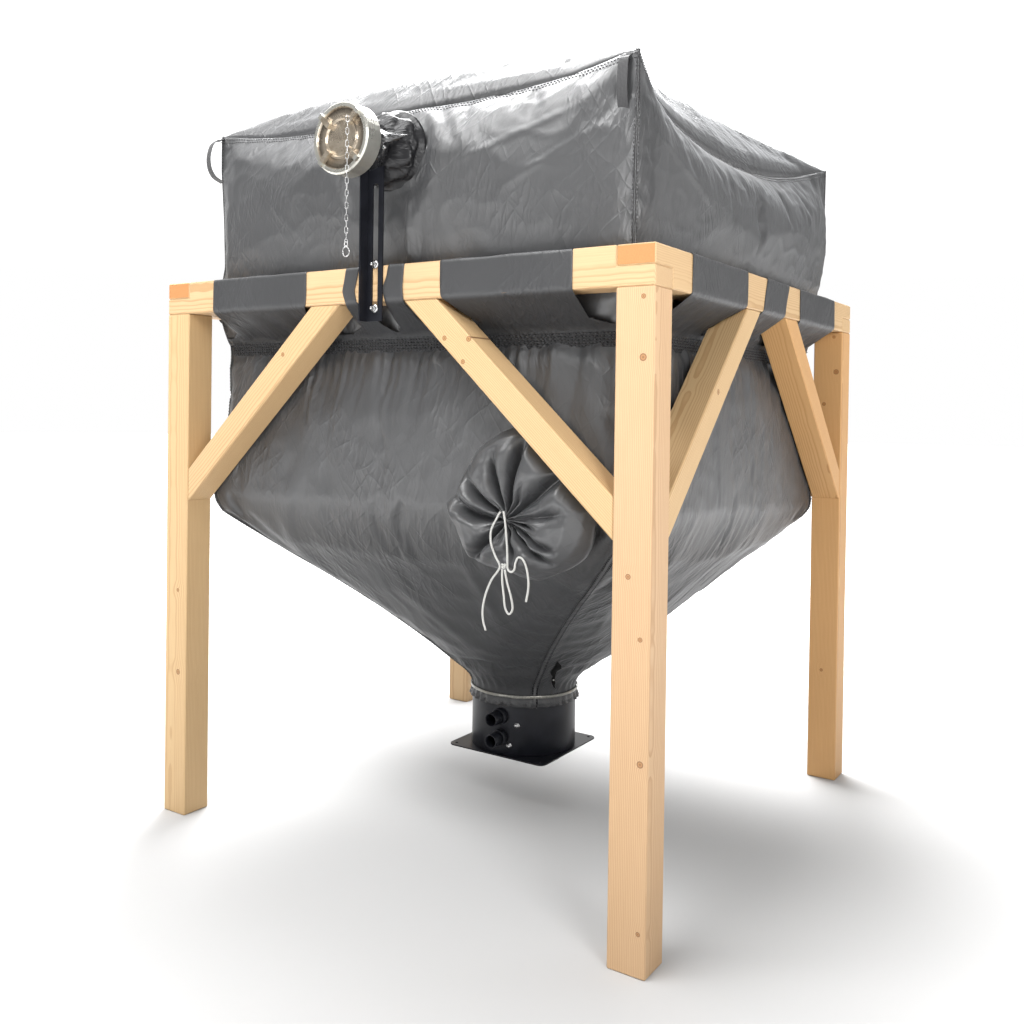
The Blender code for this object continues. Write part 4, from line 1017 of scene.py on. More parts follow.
def hanger_look():
    """The bag's cloth, puckered between the rows of stitches and a little folded above them; the rows are
    painted near black in dashes: the black thread, and painted shade in the grooves it pulls in.
    """
    look, tree, shader = opened(bag_cloth.copy())
    look.name = "gathered_polyester"
    shader.inputs["Sheen Weight"].default_value = 0.0
    place = where(tree)
    x, y, z = node(tree, "ShaderNodeSeparateXYZ", {0: place}).outputs
    along = sums(tree, "ADD", x, y)
    pitch = BAND_STITCHES[1] - BAND_STITCHES[0]
    row = sums(tree, "DIVIDE", sums(tree, "SUBTRACT", z, BAND_STITCHES[0]), pitch)
    along = sums(tree, "MULTIPLY_ADD", noise(tree, place, 40.0, 1.0), 0.02, along)
    along = sums(tree, "MULTIPLY_ADD", sums(tree, "FLOOR", row), 0.0055, along)
    wave = sums(tree, "SINE", sums(tree, "MULTIPLY", along, 420.0))
    bulge = sums(tree, "ABSOLUTE", sums(tree, "SINE", sums(tree, "MULTIPLY", row, pi)))
    rise = sums(tree, "DIVIDE", sums(tree, "SUBTRACT", z, 1.380), 0.1)
    band = graded(tree, rise, (0.03, 0.0), (0.08, 1.0), (0.38, 1.0), (0.46, 0.0))
    pucker = sums(tree, "MULTIPLY", sums(tree, "MULTIPLY", sums(tree, "ADD", wave, 1.6), bulge), band)
    add_relief(tree, shader, pucker, 0.0014)
    # Near-black dashes along each row of stitches: the thread's own black, and painted shade in the groove
    # it pulls into the cloth.
    off = sums(tree, "SUBTRACT", sums(tree, "FRACT", sums(tree, "ADD", row, 0.5)), 0.5)
    pulled = graded(tree, sums(tree, "ABSOLUTE", off), (0.14, 1.0), (0.24, 0.0))
    dash = graded(tree, wave, (0.0, 0.10), (0.4, 0.75))
    rows = graded(tree, rise, (0.060, 0.0), (0.065, 1.0), (0.405, 1.0), (0.410, 0.0))
    dark = sums(tree, "MULTIPLY", sums(tree, "MULTIPLY", pulled, dash), rows)
    cloth = shader.inputs["Base Color"].links[0].from_socket
    tree.links.new(blended(tree, dark, cloth, (0.003, 0.003, 0.004, 1)), shader.inputs["Base Color"])
    on_beam = graded(tree, sums(tree, "SUBTRACT", z, 1.0), (0.500, 0.15), (0.515, 0.55))
    shine = sums(tree, "MULTIPLY", on_beam, sums(tree, "SUBTRACT", 1.0, dark))
    tree.links.new(shine, shader.inputs["Specular IOR Level"])
    return look


hangers = {}


def make_hangers():
    look = hanger_look()
    for side, name in enumerate(SIDES):
        middle = [FRONT_STRAP_LEFT, FRONT_STRAP_RIGHT] if name == "front" else [MIDDLE_STRAP]
        mirrored = [(-b, -a) for a, b in SLEEVE_EDGES]
        grid, kept = hanger_grid(side, [mirrored, *middle, SLEEVE_EDGES])
        piece = add_piece(f"hanger_{name}_cloth", cloth_grid(grid, kept), look)
        wall(piece, CLOTH_THICKNESS)
        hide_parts(f"hanger_{name}")
        hangers[name] = grid


make_hangers()


# Lifting loops: folded webbing sewn into the seam at each top corner
# The 26 mm webbing stands out of the corner as an upright loop, with its ends in the seam.
LOOP_WIDTH = 0.026
LOOP_THICKNESS = 0.0022
# Each loop's corner in eighths of a turn, its slide along X, its twist and how far it stands out
LOOP_PLACES = {"front_left": (5, 0.0, 0.5, 1.0), "front_right": (7, -0.034, -0.785, 0.35),
               "back_right": (1, -0.034, 0.785, 0.35), "back_left": (3, 0.0, -0.2, 1.0)}
# The loop's line, as how far out of the corner it is and how far above it
LOOP_LINE = ((-0.004, 0.004), (0.003, -0.001), (0.018, -0.004), (0.032, -0.018), (0.040, -0.042),
             (0.0425, -0.066), (0.038, -0.092), (0.026, -0.112), (0.012, -0.121), (0.003, -0.1245),
             (-0.004, -0.128))


def webbing_look():
    """Coarse ribs across a plain woven tape: the thick threads are painted lighter, a painted shine, and the
    gaps between them darker, painted shade.
    """
    look, tree, shader = new_material("woven_webbing", Roughness=0.62, Sheen_Weight=0.08,
                                      Sheen_Roughness=0.5)
    uv = where(tree, "UV")
    weave = sums(tree, "MULTIPLY", stripes(tree, uv, 110.0, "Y"), stripes(tree, uv, 90.0, "X"))
    # Painted shine on the thick threads and painted shade between them, on top of the relief.
    shade = graded(tree, weave, (0.0, (0.014, 0.014, 0.015)), (1.0, (0.050, 0.050, 0.052)))
    tree.links.new(shade, shader.inputs["Base Color"])
    add_relief(tree, shader, weave, 0.0006, 0.6)
    return look


def tape(path, across, width, thickness):
    """A flat band along a path, its width laid along one direction."""
    outline = [(-width / 2, -thickness / 2), (width / 2, -thickness / 2), (width / 2, thickness / 2),
               (-width / 2, thickness / 2)]
    made = bmesh.new()
    cut = made.loops.layers.uv.new("UVMap")
    rings = []
    along = 0.0
    lengths = []
    for i, point in enumerate(path):
        ahead = (path[min(i + 1, len(path) - 1)] - path[max(i - 1, 0)]).normalized()
        side = (across - ahead * across.dot(ahead)).normalized()
        up = ahead.cross(side)
        rings.append([made.verts.new(point + side * a + up * b) for a, b in outline])
        lengths.append(along)
        if i + 1 < len(path):
            along += (path[i + 1] - point).length
    for i in range(len(path) - 1):
        for k in range(4):
            m = (k + 1) % 4
            face = made.faces.new((rings[i][k], rings[i][m], rings[i + 1][m], rings[i + 1][k]))
            spots = ((k, i), (m, i), (m, i + 1), (k, i + 1))
            for loop, (g, t) in zip(face.loops, spots):
                loop[cut].uv = (outline[g][0], lengths[t])
    made.faces.new(rings[0])
    made.faces.new(list(reversed(rings[-1])))
    bmesh.ops.recalc_face_normals(made, faces=made.faces)
    return made


def soften(piece, width, segments):
    edges = piece.modifiers.new("soft_edge", "BEVEL")
    edges.width = width
    edges.segments = segments


def make_loops():
    look = webbing_look()
    for name, (eighths, slide, twist, standing) in LOOP_PLACES.items():
        angle = eighths * pi / 4
        away = Vector((cos(angle), sin(angle), 0))
        half = UPPER_ROWS[-1][1]
        seam = np.array([[np.sign(away.x) * half, np.sign(away.y) * half, BAG_TOP - 0.012]])
        corner = Vector(leaned(seam, half)[0]) + Vector((slide, FRAME_Y, 0))
        away.rotate(Matrix.Rotation(twist, 3, "Z"))
        across = Vector((-away.y, away.x, 0))
        path = smooth_path([corner + away * a * standing + Vector((0, 0, h)) for a, h in LOOP_LINE], 0.004)
        band = tape(path, across, LOOP_WIDTH, LOOP_THICKNESS)
        piece = add_piece(f"lifting_loop_{name}_webbing", band, look)
        soften(piece, 0.0006, 1)
        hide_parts(f"lifting_loop_{name}")


make_loops()


# Inspection sleeve: a wide cloth tube sewn to the front of the hopper and drawn shut
# The tube is folded back on itself into a soft rosette. Its mouth is gathered by the
# drawstring, which runs in a stitched casing, and deep folds run out from there.
ROSETTE_MIDDLE = (0.397, 0.970)
ROSETTE_BACK = -0.700
ROSETTE_OUTLINE = ((0.623, 0.960), (0.630, 1.010), (0.620, 1.065), (0.590, 1.122), (0.540, 1.163),
                   (0.480, 1.185), (0.420, 1.193), (0.375, 1.183), (0.343, 1.166), (0.302, 1.141),
                   (0.271, 1.094), (0.246, 1.058), (0.228, 1.024), (0.196, 0.993), (0.203, 0.974),
                   (0.234, 0.940), (0.252, 0.902), (0.268, 0.860), (0.309, 0.852), (0.351, 0.845),
                   (0.400, 0.838), (0.448, 0.827), (0.479, 0.827), (0.517, 0.843), (0.555, 0.862),
                   (0.592, 0.889), (0.613, 0.920))
ROSETTE_RISE = ((0.0, 0.060), (0.05, 0.064), (0.10, 0.052), (0.20, 0.046), (0.35, 0.058), (0.55, 0.070),
                (0.75, 0.070), (0.90, 0.052), (1.0, 0.024))
# Each fold's direction in degrees at the gather and at the rim, its depth, its width and how far it runs
ROSETTE_FOLDS = ((160, 142, 0.80, 0.30, 1.0), (125, 102, 0.85, 0.26, 0.85), (94, 76, 0.95, 0.26, 1.0),
                 (36, 38, 0.90, 0.30, 1.0), (2, 9, 0.45, 0.22, 0.75), (-45, -24, 0.55, 0.22, 0.80),
                 (-66, -34, 0.60, 0.20, 0.90), (196, 166, 1.00, 0.34, 1.1), (227, 224, 0.95, 0.30, 1.1),
                 (270, 290, 0.50, 0.25, 0.80), (60, 62, 0.35, 0.20, 0.45), (143, 130, 0.30, 0.18, 0.40),
                 (20, 22, 0.35, 0.18, 0.40), (212, 200, 0.40, 0.18, 0.45), (248, 255, 0.40, 0.20, 0.50),
                 (-20, -8, 0.40, 0.18, 0.45))
BRACE_EDGE = (1.6086, 0.941)
ROSETTE_RAYS = 288
ROSETTE_RINGS = 50


def rosette_grid(front_wall):
    """Rings from the gather out to the rim, and then back under it to the bag."""
    middle = np.array(ROSETTE_MIDDLE)
    outline = np.array(ROSETTE_OUTLINE) - middle
    angles = np.arctan2(outline[:, 1], outline[:, 0])
    order = np.argsort(angles)
    rays = np.linspace(-pi, pi, ROSETTE_RAYS, endpoint=False)
    reach = np.interp(rays, angles[order], np.hypot(*outline[order].T), period=2 * pi)
    for _ in range(3):
        reach = (np.roll(reach, 1) + 2 * reach + np.roll(reach, -1)) / 4
    t = np.linspace(0.012, 1, ROSETTE_RINGS)[:, None]
    ray = rays[None, :]
    fold = np.zeros((ROSETTE_RINGS, ROSETTE_RAYS))
    for start, end, depth, width, run in ROSETTE_FOLDS:
        at = np.radians(start + (end - start) * t ** 0.7)
        gap = np.abs((ray - at + pi) % (2 * pi) - pi)
        spread = width * (0.45 + 0.35 * t) / (0.25 + t)
        fade = np.clip((run - t) / 0.25, 0, 1) ** 0.7
        fold = np.maximum(fold, depth * fade * np.exp(-(gap / (0.5 * spread)) ** 1.5))
    rise = np.interp(t, *np.array(ROSETTE_RISE).T)
    pleat = np.exp(-((t - 0.15) / 0.10) ** 2) * np.sin(23 * ray + 1.5 * np.sin(3 * ray)) ** 3
    height = rise * (1 - 0.78 * fold) + 0.005 * pleat
    height += 0.004 * t * (1 - t) * 4 * ripples(ray + 3 * t, 0.9, 6)
    radius = reach * t * (1 - 0.05 * fold)
    x = middle[0] + radius * np.cos(ray)
    z = middle[1] + radius * np.sin(ray)
    y = np.maximum(ROSETTE_BACK - height, behind_brace(x, z))
    under = []
    for s in (0.25, 0.5, 0.75, 1.0):
        shrink = 1 - 0.16 * s ** 1.5
        ux = middle[0] + radius[-1] * shrink * np.cos(rays)
        uz = middle[1] + radius[-1] * shrink * np.sin(rays)
        wall_y = np.array([front_wall(a, b) for a, b in zip(ux, uz)])
        under.append(np.stack([ux, y[-1] + (wall_y + 0.002 - y[-1]) * s ** 0.7, uz], axis=-1))
    return np.concatenate([np.stack([x, y, z], axis=-1), np.array(under)])


def behind_brace(x, z):
    """How far forward the cloth can stand: under the brace it goes behind, with a round shoulder."""
    clear = (BRACE_EDGE[0] - BRACE_EDGE[1] * x - z) * 0.728 - 0.003
    return -0.7032 - 0.080 * np.sqrt(np.clip(clear / 0.065, 0, 1))


def closed_rings(grid):
    """A sheet on rings of points that each run all the way round, with a UV map in metres."""
    made = bmesh.new()
    cut = made.loops.layers.uv.new("UVMap")
    rings, rays = grid.shape[:2]
    corners = [[made.verts.new(p) for p in ring] for ring in grid]
    out = np.concatenate([[0], np.cumsum(np.linalg.norm(np.diff(grid[:, 0], axis=0), axis=1))])
    girth = 0.6
    for i in range(rings - 1):
        for j in range(rays):
            k = (j + 1) % rays
            face = made.faces.new((corners[i][j], corners[i + 1][j], corners[i + 1][k], corners[i][k]))
            face.smooth = True
            for loop, (a, b) in zip(face.loops, ((i, j), (i + 1, j), (i + 1, j + 1), (i, j + 1))):
                loop[cut].uv = (girth * b / rays, out[a])
    return made


def face_finder(grid):
    """Finds where a ray meets a sheet on a grid of points."""
    rows, columns = grid.shape[:2]
    points = [tuple(p) for p in grid.reshape(-1, 3)]
    starts = [i * columns + j for i in range(rows - 1) for j in range(columns - 1)]
    cells = [(k, k + 1, k + columns + 1, k + columns) for k in starts]
    return BVHTree.FromPolygons(points, cells)


def make_inspection_sleeve():
    bag = face_finder(panels["lower_front"])

    def front_wall(x, z):
        return bag.ray_cast((x, -2, z), (0, 1, 0))[0].y - FRAME_Y

    made = closed_rings(rosette_grid(front_wall) + (0, FRAME_Y, 0))
    made.faces.new(list(made.verts)[:ROSETTE_RAYS][::-1])
    bmesh.ops.recalc_face_normals(made, faces=made.faces)
    piece = add_piece("inspection_sleeve_cloth", made, bag_cloth)
    wall(piece, CLOTH_THICKNESS)
    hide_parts("inspection_sleeve")


make_inspection_sleeve()


# Filler collar: a short cloth tube sewn round the pipe's hole and bunched up on the pipe
# It is shorter on the pipe than its cut length, so that it crumples into slack folds.
COLLAR_RADIUS = 0.102
COLLAR_SLIP = 0.030
COLLAR_PIPE = 0.0535
COLLAR_FRONT = -0.7975
COLLAR_LENGTH = 0.120
COLLAR_RAYS = 28
COLLAR_RINGS = 10


def round_pipe(x, y, z):
    """A grid of points about the filler pipe's axis, in their place on the silo."""
    return np.stack([x, y + FRAME_Y + 0 * x, FILLER_HEIGHT + z], axis=-1)


def collar_grids(bag_front):
    """The bunched tube on the pipe, in large slack folds, and the same tube at its cut length."""
    rays = np.linspace(0, 2 * pi, COLLAR_RAYS, endpoint=False)[None, :]
    t = np.linspace(0, 1, COLLAR_RINGS)[:, None]
    radius = COLLAR_PIPE + 0.002 + (0.086 - COLLAR_PIPE) * np.clip(t / 0.45, 0, 1) ** 0.6
    radius = radius + (COLLAR_RADIUS - 0.086) * np.clip((t - 0.75) / 0.25, 0, 1)
    slack = np.sin(pi * np.clip(t * 1.04, 0, 1)) ** 0.7
    around = rays / (2 * pi)
    facets = np.abs((5 * around + 0.9 * t) % 1 - 0.5) + np.abs((7 * around - 1.4 * t) % 1 - 0.5)
    radius = radius + slack * (0.022 * (facets - 0.5) + 0.004 * ripples(rays + 4 * t, 0.6, 32))
    y = COLLAR_FRONT + (bag_front - COLLAR_FRONT) * t - 0.006 * slack * np.sin(3 * rays + 2.0)
    x = radius * np.cos(rays) + COLLAR_SLIP * np.clip(t / 0.6, 0, 1)
    bunched = round_pipe(x, y, radius * np.sin(rays))
    radius = COLLAR_PIPE + (COLLAR_RADIUS * 1.12 - COLLAR_PIPE) * np.clip(t / 0.5, 0, 1)
    y = bag_front - COLLAR_LENGTH * (1 - t)
    return bunched, round_pipe(radius * np.cos(rays), y, radius * np.sin(rays))


def crumpled(mesh_data, cut_shape, hold):
    """A sheet settled at its own cut size, from a start where there is less room for it."""
    sheet = add_object("crumpling", plain_mesh("crumpling", mesh_data))
    sheet.shape_key_add(name="Basis")
    cut = sheet.shape_key_add(name="cut")
    cut.data.foreach_set("co", np.asarray(cut_shape, dtype=np.float32).ravel())
    add_hold(sheet, hold=hold)
    return simulated(sheet, 20, 0.02, own_gap=0.002, quality=8, mass=0.2, tension_stiffness=20,
                     compression_stiffness=20, shear_stiffness=6, bending_stiffness=0.6, air_damping=6,
                     rest_shape_key=cut)


def rounder(rings):
    """Rings of points with twice as many cells both ways, smooth all the way round."""
    count = rings.shape[1]
    wrapped = np.concatenate([rings[:, -2:], rings, rings[:, :3]], axis=1)
    return finer(finer(wrapped, 1)[:, 4:4 + 2 * count], 0)


def make_collar():
    hit = face_finder(panels["upper_front"]).ray_cast((0.09, -2, FILLER_HEIGHT), (0, 1, 0))[0]
    bunched, pulled = collar_grids(hit.y - FRAME_Y)
    hold = np.zeros((COLLAR_RINGS, COLLAR_RAYS))
    hold[:2] = hold[-2:] = 1
    bunched = crumpled(closed_rings(bunched), pulled, hold.ravel()).reshape(bunched.shape)
    dark, tree, shader = opened(cloth_look("collar_polyester", (0.008, 0.008, 0.009), 0.02, 0.36))
    tree.links.remove(shader.inputs["Specular IOR Level"].links[0])
    shader.inputs["Specular IOR Level"].default_value = 0.30
    piece = add_piece("filler_collar_cloth", closed_rings(rounder(bunched)[::-1]), dark)
    wall(piece, CLOTH_THICKNESS)
    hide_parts("filler_collar")


make_collar()


# Stitches: polyester thread, sewn in rows along the band and along every seam of the bag
# Each row is a line on the cloth. Geometry Nodes lay one short stitch on every step of it.
THREAD_DIAMETER = 0.0028
STITCH_PITCH = 0.0095
STITCH_LENGTH = 0.0076
STITCH_LIFT = 0.0006
# The rows along the upper panels' top edge, across the corner seams, and along the hem
ROOF_ROWS = (0.007, 0.018)
CORNER_ROWS = (0.0016, 0.0142)
HEM_ROWS = (0.006, 0.012)


def new_rule(name, *numbers):
    """A geometry rule with its inputs and the points at even steps along its line."""
    tree = bpy.data.node_groups.new(name, "GeometryNodeTree")
    kinds = {"Line": "Geometry", "Pitch": "Float", **dict.fromkeys(numbers, "Float"), "Look": "Material"}
    for title, kind in kinds.items():
        tree.interface.new_socket(title, in_out="INPUT", socket_type="NodeSocket" + kind)
    tree.interface.new_socket("Result", in_out="OUTPUT", socket_type="NodeSocketGeometry")
    given = node(tree, "NodeGroupInput").outputs
    line = node(tree, "GeometryNodeMeshToCurve", {"Mesh": given["Line"]}).outputs[0]
    steps = node(tree, "GeometryNodeResampleCurve", {"Curve": line, "Length": given["Pitch"]}, mode="LENGTH")
    return tree, given, steps.outputs[0]


def finish_rule(tree, given, values):
    """Ends a rule: one copy on every point, made real and given its material."""
    laid = node(tree, "GeometryNodeInstanceOnPoints", values).outputs[0]
    solid = node(tree, "GeometryNodeRealizeInstances", {"Geometry": laid}).outputs[0]
    painted = node(tree, "GeometryNodeSetMaterial", {"Geometry": solid, "Material": given["Look"]})
    node(tree, "NodeGroupOutput", {"Result": painted.outputs[0]})


def stitch_rule():
    """Inputs: the line, the pitch of the stitches, their length and the thread's thickness."""
    tree, given, steps = new_rule("stitches_on_a_line", "Length", "Thickness")
    along = node(tree, "GeometryNodeInputTangent").outputs[0]
    aimed = node(tree, "FunctionNodeAlignRotationToVector", {"Vector": along}, axis="Z").outputs[0]
    thick = given["Thickness"]
    size = node(tree, "ShaderNodeCombineXYZ", {0: thick, 1: thick, 2: given["Length"]}).outputs[0]
    bead = node(tree, "GeometryNodeMeshIcoSphere", {"Radius": 0.5, "Subdivisions": 1}).outputs[0]
    finish_rule(tree, given, {"Points": steps, "Instance": bead, "Rotation": aimed, "Scale": size})
    return tree


def grow(name, lines, rule, slot, **values):
    """Runs a rule on a set of lines and keeps the result as one plain piece of the silo."""
    made = bmesh.new()
    for line in lines:
        verts = [made.verts.new(p) for p in line]
        for a, b in zip(verts, verts[1:]):
            made.edges.new((a, b))
    guide = add_object(name + "_lines", plain_mesh(name + "_lines", made))
    step = guide.modifiers.new("rule", "NODES")
    step.node_group = rule
    for item in rule.interface.items_tree:
        if item.item_type == "SOCKET" and item.in_out == "INPUT" and item.name in values:
            step[item.identifier] = values[item.name]
    ready = guide.evaluated_get(bpy.context.evaluated_depsgraph_get())
    kept = bpy.data.meshes.new_from_object(ready)
    guide.modifiers.remove(step)
    bpy.data.objects.remove(guide)
    piece = add_object(name, kept)
    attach(piece, "root")
    return piece


def thread_look():
    look, tree, shader = new_material("black_thread", Roughness=0.55, Sheen_Weight=0.2)
    twist = noise(tree, where(tree), 900.0, 1.0)
    shade = graded(tree, twist, (0.3, (0.008, 0.008, 0.009)), (0.8, (0.035, 0.035, 0.038)))
    tree.links.new(shade, shader.inputs["Base Color"])
    return look


def edge_line(grid, edge, inset, lift):
    """A line on a panel at a distance in from one of its edges, lifted off the cloth."""
    if edge in ("left", "right"):
        grid = grid.transpose(1, 0, 2)
    if edge in ("high", "right"):
        grid = grid[::-1]
    deep = np.zeros(grid.shape[:2])
    deep[1:] = np.cumsum(np.linalg.norm(np.diff(grid, axis=0), axis=2), axis=0)
    line, inwards = np.empty_like(grid[0]), np.empty_like(grid[0])
    for k in range(grid.shape[1]):
        first = min(max(np.searchsorted(deep[:, k], inset) - 1, 0), len(grid) - 2)
        share = (inset - deep[first, k]) / (deep[first + 1, k] - deep[first, k])
        inwards[k] = grid[first + 1, k] - grid[first, k]
        line[k] = grid[first, k] + inwards[k] * share
    normal = np.cross(np.gradient(line, axis=0), inwards)
    normal /= np.linalg.norm(normal, axis=1, keepdims=True)
    outward = np.sign(((line - BAG_MIDDLE) * normal).sum(axis=1, keepdims=True))
    return line + normal * outward * lift


def make_seam_stitches():
    lines = []
    for name in SIDES:
        upper, lower = panels[f"upper_{name}"], panels[f"lower_{name}"]
        lines += [edge_line(upper, "high", inset, STITCH_LIFT) for inset in ROOF_ROWS]
        lines += [edge_line(upper, edge, 0.006, STITCH_LIFT) for edge in ("left", "right")]
        lines += [edge_line(lower, "right", inset, SEAM_HEIGHTS[0] + 0.0001) for inset in CORNER_ROWS]
        lines += [edge_line(lower, "low", inset, STITCH_LIFT) for inset in HEM_ROWS]
    for name in SIDES:
        lines += [edge_line(hangers[name], "low", z - HANGER_LINE[0][1], 0.0008) for z in BAND_STITCHES]
    grow("seam_stitches", lines, stitch_rule(), "bag_fabric", Pitch=STITCH_PITCH, Length=STITCH_LENGTH,
         Thickness=THREAD_DIAMETER, Look=thread_look())


make_seam_stitches()


# Seams: the panels' edges are turned in together and sewn down flat
# Down each corner of the hopper runs a flat double seam, which stands a little proud of the
# cloth. The seams of the upper box are narrow ridges.
LOWER_WIDTHS = (0.0175, 0.0035)
UPPER_WIDTHS = (0.0035, 0.0035)
SEAM_WIDTH = sum(LOWER_WIDTHS)


def seam_tape(first, second, widths, height):
    """A low flat ridge along the edge that two panels share, with its own width on each."""
    lines = [edge_line(*first, widths[0], 0.0001), edge_line(*first, widths[0] - 0.0012, height),
             edge_line(*first, 0.0004, height), edge_line(*second, widths[1] - 0.0012, height),
             edge_line(*second, widths[1], 0.0001)]
    return cloth_grid(np.array(lines))


def seam_look():
    """The bag's cloth, pulled down into two grooves where the rows of stitches run; the grooves are painted
    near black, for the thread and painted shade in them.
    """
    look, tree, shader = opened(bag_cloth.copy())
    look.name = "flat_seam"
    uv = where(tree, "UV")
    across = node(tree, "ShaderNodeSeparateXYZ", {0: uv}).outputs["Y"]
    off = sums(tree, "ABSOLUTE", sums(tree, "SUBTRACT", across, SEAM_WIDTH / 2 + 0.0006))
    groove = sums(tree, "ABSOLUTE", sums(tree, "SUBTRACT", off, 0.0070))
    # Near black along both rows: the thread's colour and painted shade in the grooves.
    dark = graded(tree, sums(tree, "MULTIPLY", groove, 100.0), (0.24, 1.0), (0.36, 0.0))
    cloth = shader.inputs["Base Color"].links[0].from_socket
    tree.links.new(blended(tree, dark, cloth, (0.004, 0.004, 0.005, 1)), shader.inputs["Base Color"])
    tree.links.new(sums(tree, "MULTIPLY_ADD", dark, -0.75, 0.8), shader.inputs["Specular IOR Level"])
    return look


def make_seams():
    felled = seam_look()
    # The upper seams' ridges are cloth a third as bright as the bag's: painted shade along the fold between
    # the panels.
    dark = cloth_look("shaded_seam_polyester", (0.010, 0.010, 0.011), 0.05, 0.45)
    for side, name in enumerate(SIDES):
        after = SIDES[(side + 1) % 4]
        for level, widths, height, look in (("lower", LOWER_WIDTHS, SEAM_HEIGHTS[0], felled),
                                            ("upper", UPPER_WIDTHS, SEAM_HEIGHTS[1], dark)):
            edges = (panels[f"{level}_{name}"], "right"), (panels[f"{level}_{after}"], "left")
            made = seam_tape(*edges, widths, height)
            bmesh.ops.recalc_face_normals(made, faces=made.faces)
            wall(add_piece(f"{level}_seam_{name}_{after}", made, look), 0.0008)


make_seams()


# Filler: a steel pipe out of the bag's front, shut by a cast blind cap on a coupling
# The cap is bright on its rim, and tan and mottled in its recess, a painted warm reflection, with
# rings of painted shade. A black clip holds the pipe to the slotted angle, and a shiny coated cuff
# covers the pipe between cap and bag.
CAP_MIDDLE = (0, 0, FILLER_HEIGHT)
CAP_FLOOR = -0.9195 + FRAME_Y
CUFF_ENDS = (-0.8625, -0.790)
CUFF_TIP = (0.118, -0.792, 1.925)


def metal_look(name, colour, roughness, spots=40.0, metallic=1.0):
    """Bare metal, duller and brighter in small clouds."""
    look, tree, shader = new_material(name, Metallic=metallic, Roughness=roughness)
    place = where(tree)
    cloud = noise(tree, place, spots, 4.0, 0.6)
    tone = graded(tree, cloud, (0.3, shaded(colour, 0.72)), (0.7, colour))
    tree.links.new(tone, shader.inputs["Base Color"])
    dull = graded(tree, cloud, (0.3, roughness * 1.5), (0.7, roughness * 0.8))
    tree.links.new(dull, shader.inputs["Roughness"])
    add_relief(tree, shader, cloud, 0.0005, 0.15)
    return look


def coat_look(name, colour, roughness):
    """Powder coat: near black, with the skin of an orange and a dull shine."""
    look, tree, shader = new_material(name, Roughness=roughness, Specular_IOR_Level=0.22)
    place = where(tree)
    peel = noise(tree, place, 380.0, 1.0)
    dust = noise(tree, place, 18.0, 3.0)
    tone = graded(tree, dust, (0.35, colour), (0.75, shaded(colour, 1.7)))
    tree.links.new(tone, shader.inputs["Base Color"])
    add_relief(tree, shader, peel, 0.0003, 0.2)
    return look


def cap_look():
    """Polished rim and drum, a tan disc that is a painted warm reflection, and painted shade in the ring
    between them.
    """
    look, tree, shader = opened(metal_look("cast_aluminium", (0.56, 0.55, 0.50), 0.25, 14.0, 0.80))
    place = where(tree)
    flat = vectors(tree, "MULTIPLY", vectors(tree, "SUBTRACT", place, CAP_MIDDLE), (1, 0, 1))
    ring = sums(tree, "MULTIPLY", vectors(tree, "LENGTH", flat), 10.0)
    # The tan disc, mottled in small clouds, is a painted reflection of warm surroundings.
    tan_mottle = noise(tree, place, 55.0, 5.0, 0.65)
    tan_reflection = graded(tree, tan_mottle, (0.32, (0.33, 0.275, 0.21)), (0.62, (0.47, 0.41, 0.33)))
    # The dark rings in the recess are painted shade.
    recess_shade = graded(tree, ring, (0.50, 0.0), (0.53, 0.7), (0.56, 0.15), (0.60, 0.15),
                  (0.66, 0.55), (0.74, 0.75), (0.77, 0.0))
    depth = node(tree, "ShaderNodeSeparateXYZ", {0: place}).outputs["Y"]
    sunk = sums(tree, "GREATER_THAN", depth, CAP_FLOOR)
    face = blended(tree, sums(tree, "MULTIPLY", recess_shade, sunk), tan_reflection, (0.030, 0.022, 0.016, 1))
    bright = shader.inputs["Base Color"].links[0].from_socket
    rim = graded(tree, ring, (0.765, 0.0), (0.785, 1.0))
    tree.links.new(blended(tree, rim, face, bright), shader.inputs["Base Color"])
    return look


def make_cuff(look):
    """A short coated tube, creased round the pipe, whose loose edge stands off as a point."""
    rays = np.linspace(0, 2 * pi, 120, endpoint=False)[None, :]
    t = np.linspace(0, 1, 26)[:, None]
    folds = 0.0030 * np.abs(ripples(rays + 2.6 * t, 1.3, 71)) + 0.0016 * ripples(rays - 3.0 * t, 0.7, 72)
    radius = 0.0562 + np.maximum(folds, 0) * np.sin(pi * np.clip(t * 1.1, 0, 1)) ** 0.5
    y = CUFF_ENDS[0] + (CUFF_ENDS[1] - CUFF_ENDS[0]) * t
    grid = round_pipe(radius * np.cos(rays), y, radius * np.sin(rays))
    tip = np.array(CUFF_TIP) + (0, FRAME_Y, 0)
    toward = np.exp(-((rays - 0.28) / 0.34) ** 2) * np.exp(-((t - 0.86) / 0.30) ** 2)
    grid = grid + (tip - grid) * (0.97 * toward ** 1.1)[..., None]
    piece = add_piece("filler_cuff", closed_rings(grid[::-1]), look)
    wall(piece, 0.0008)


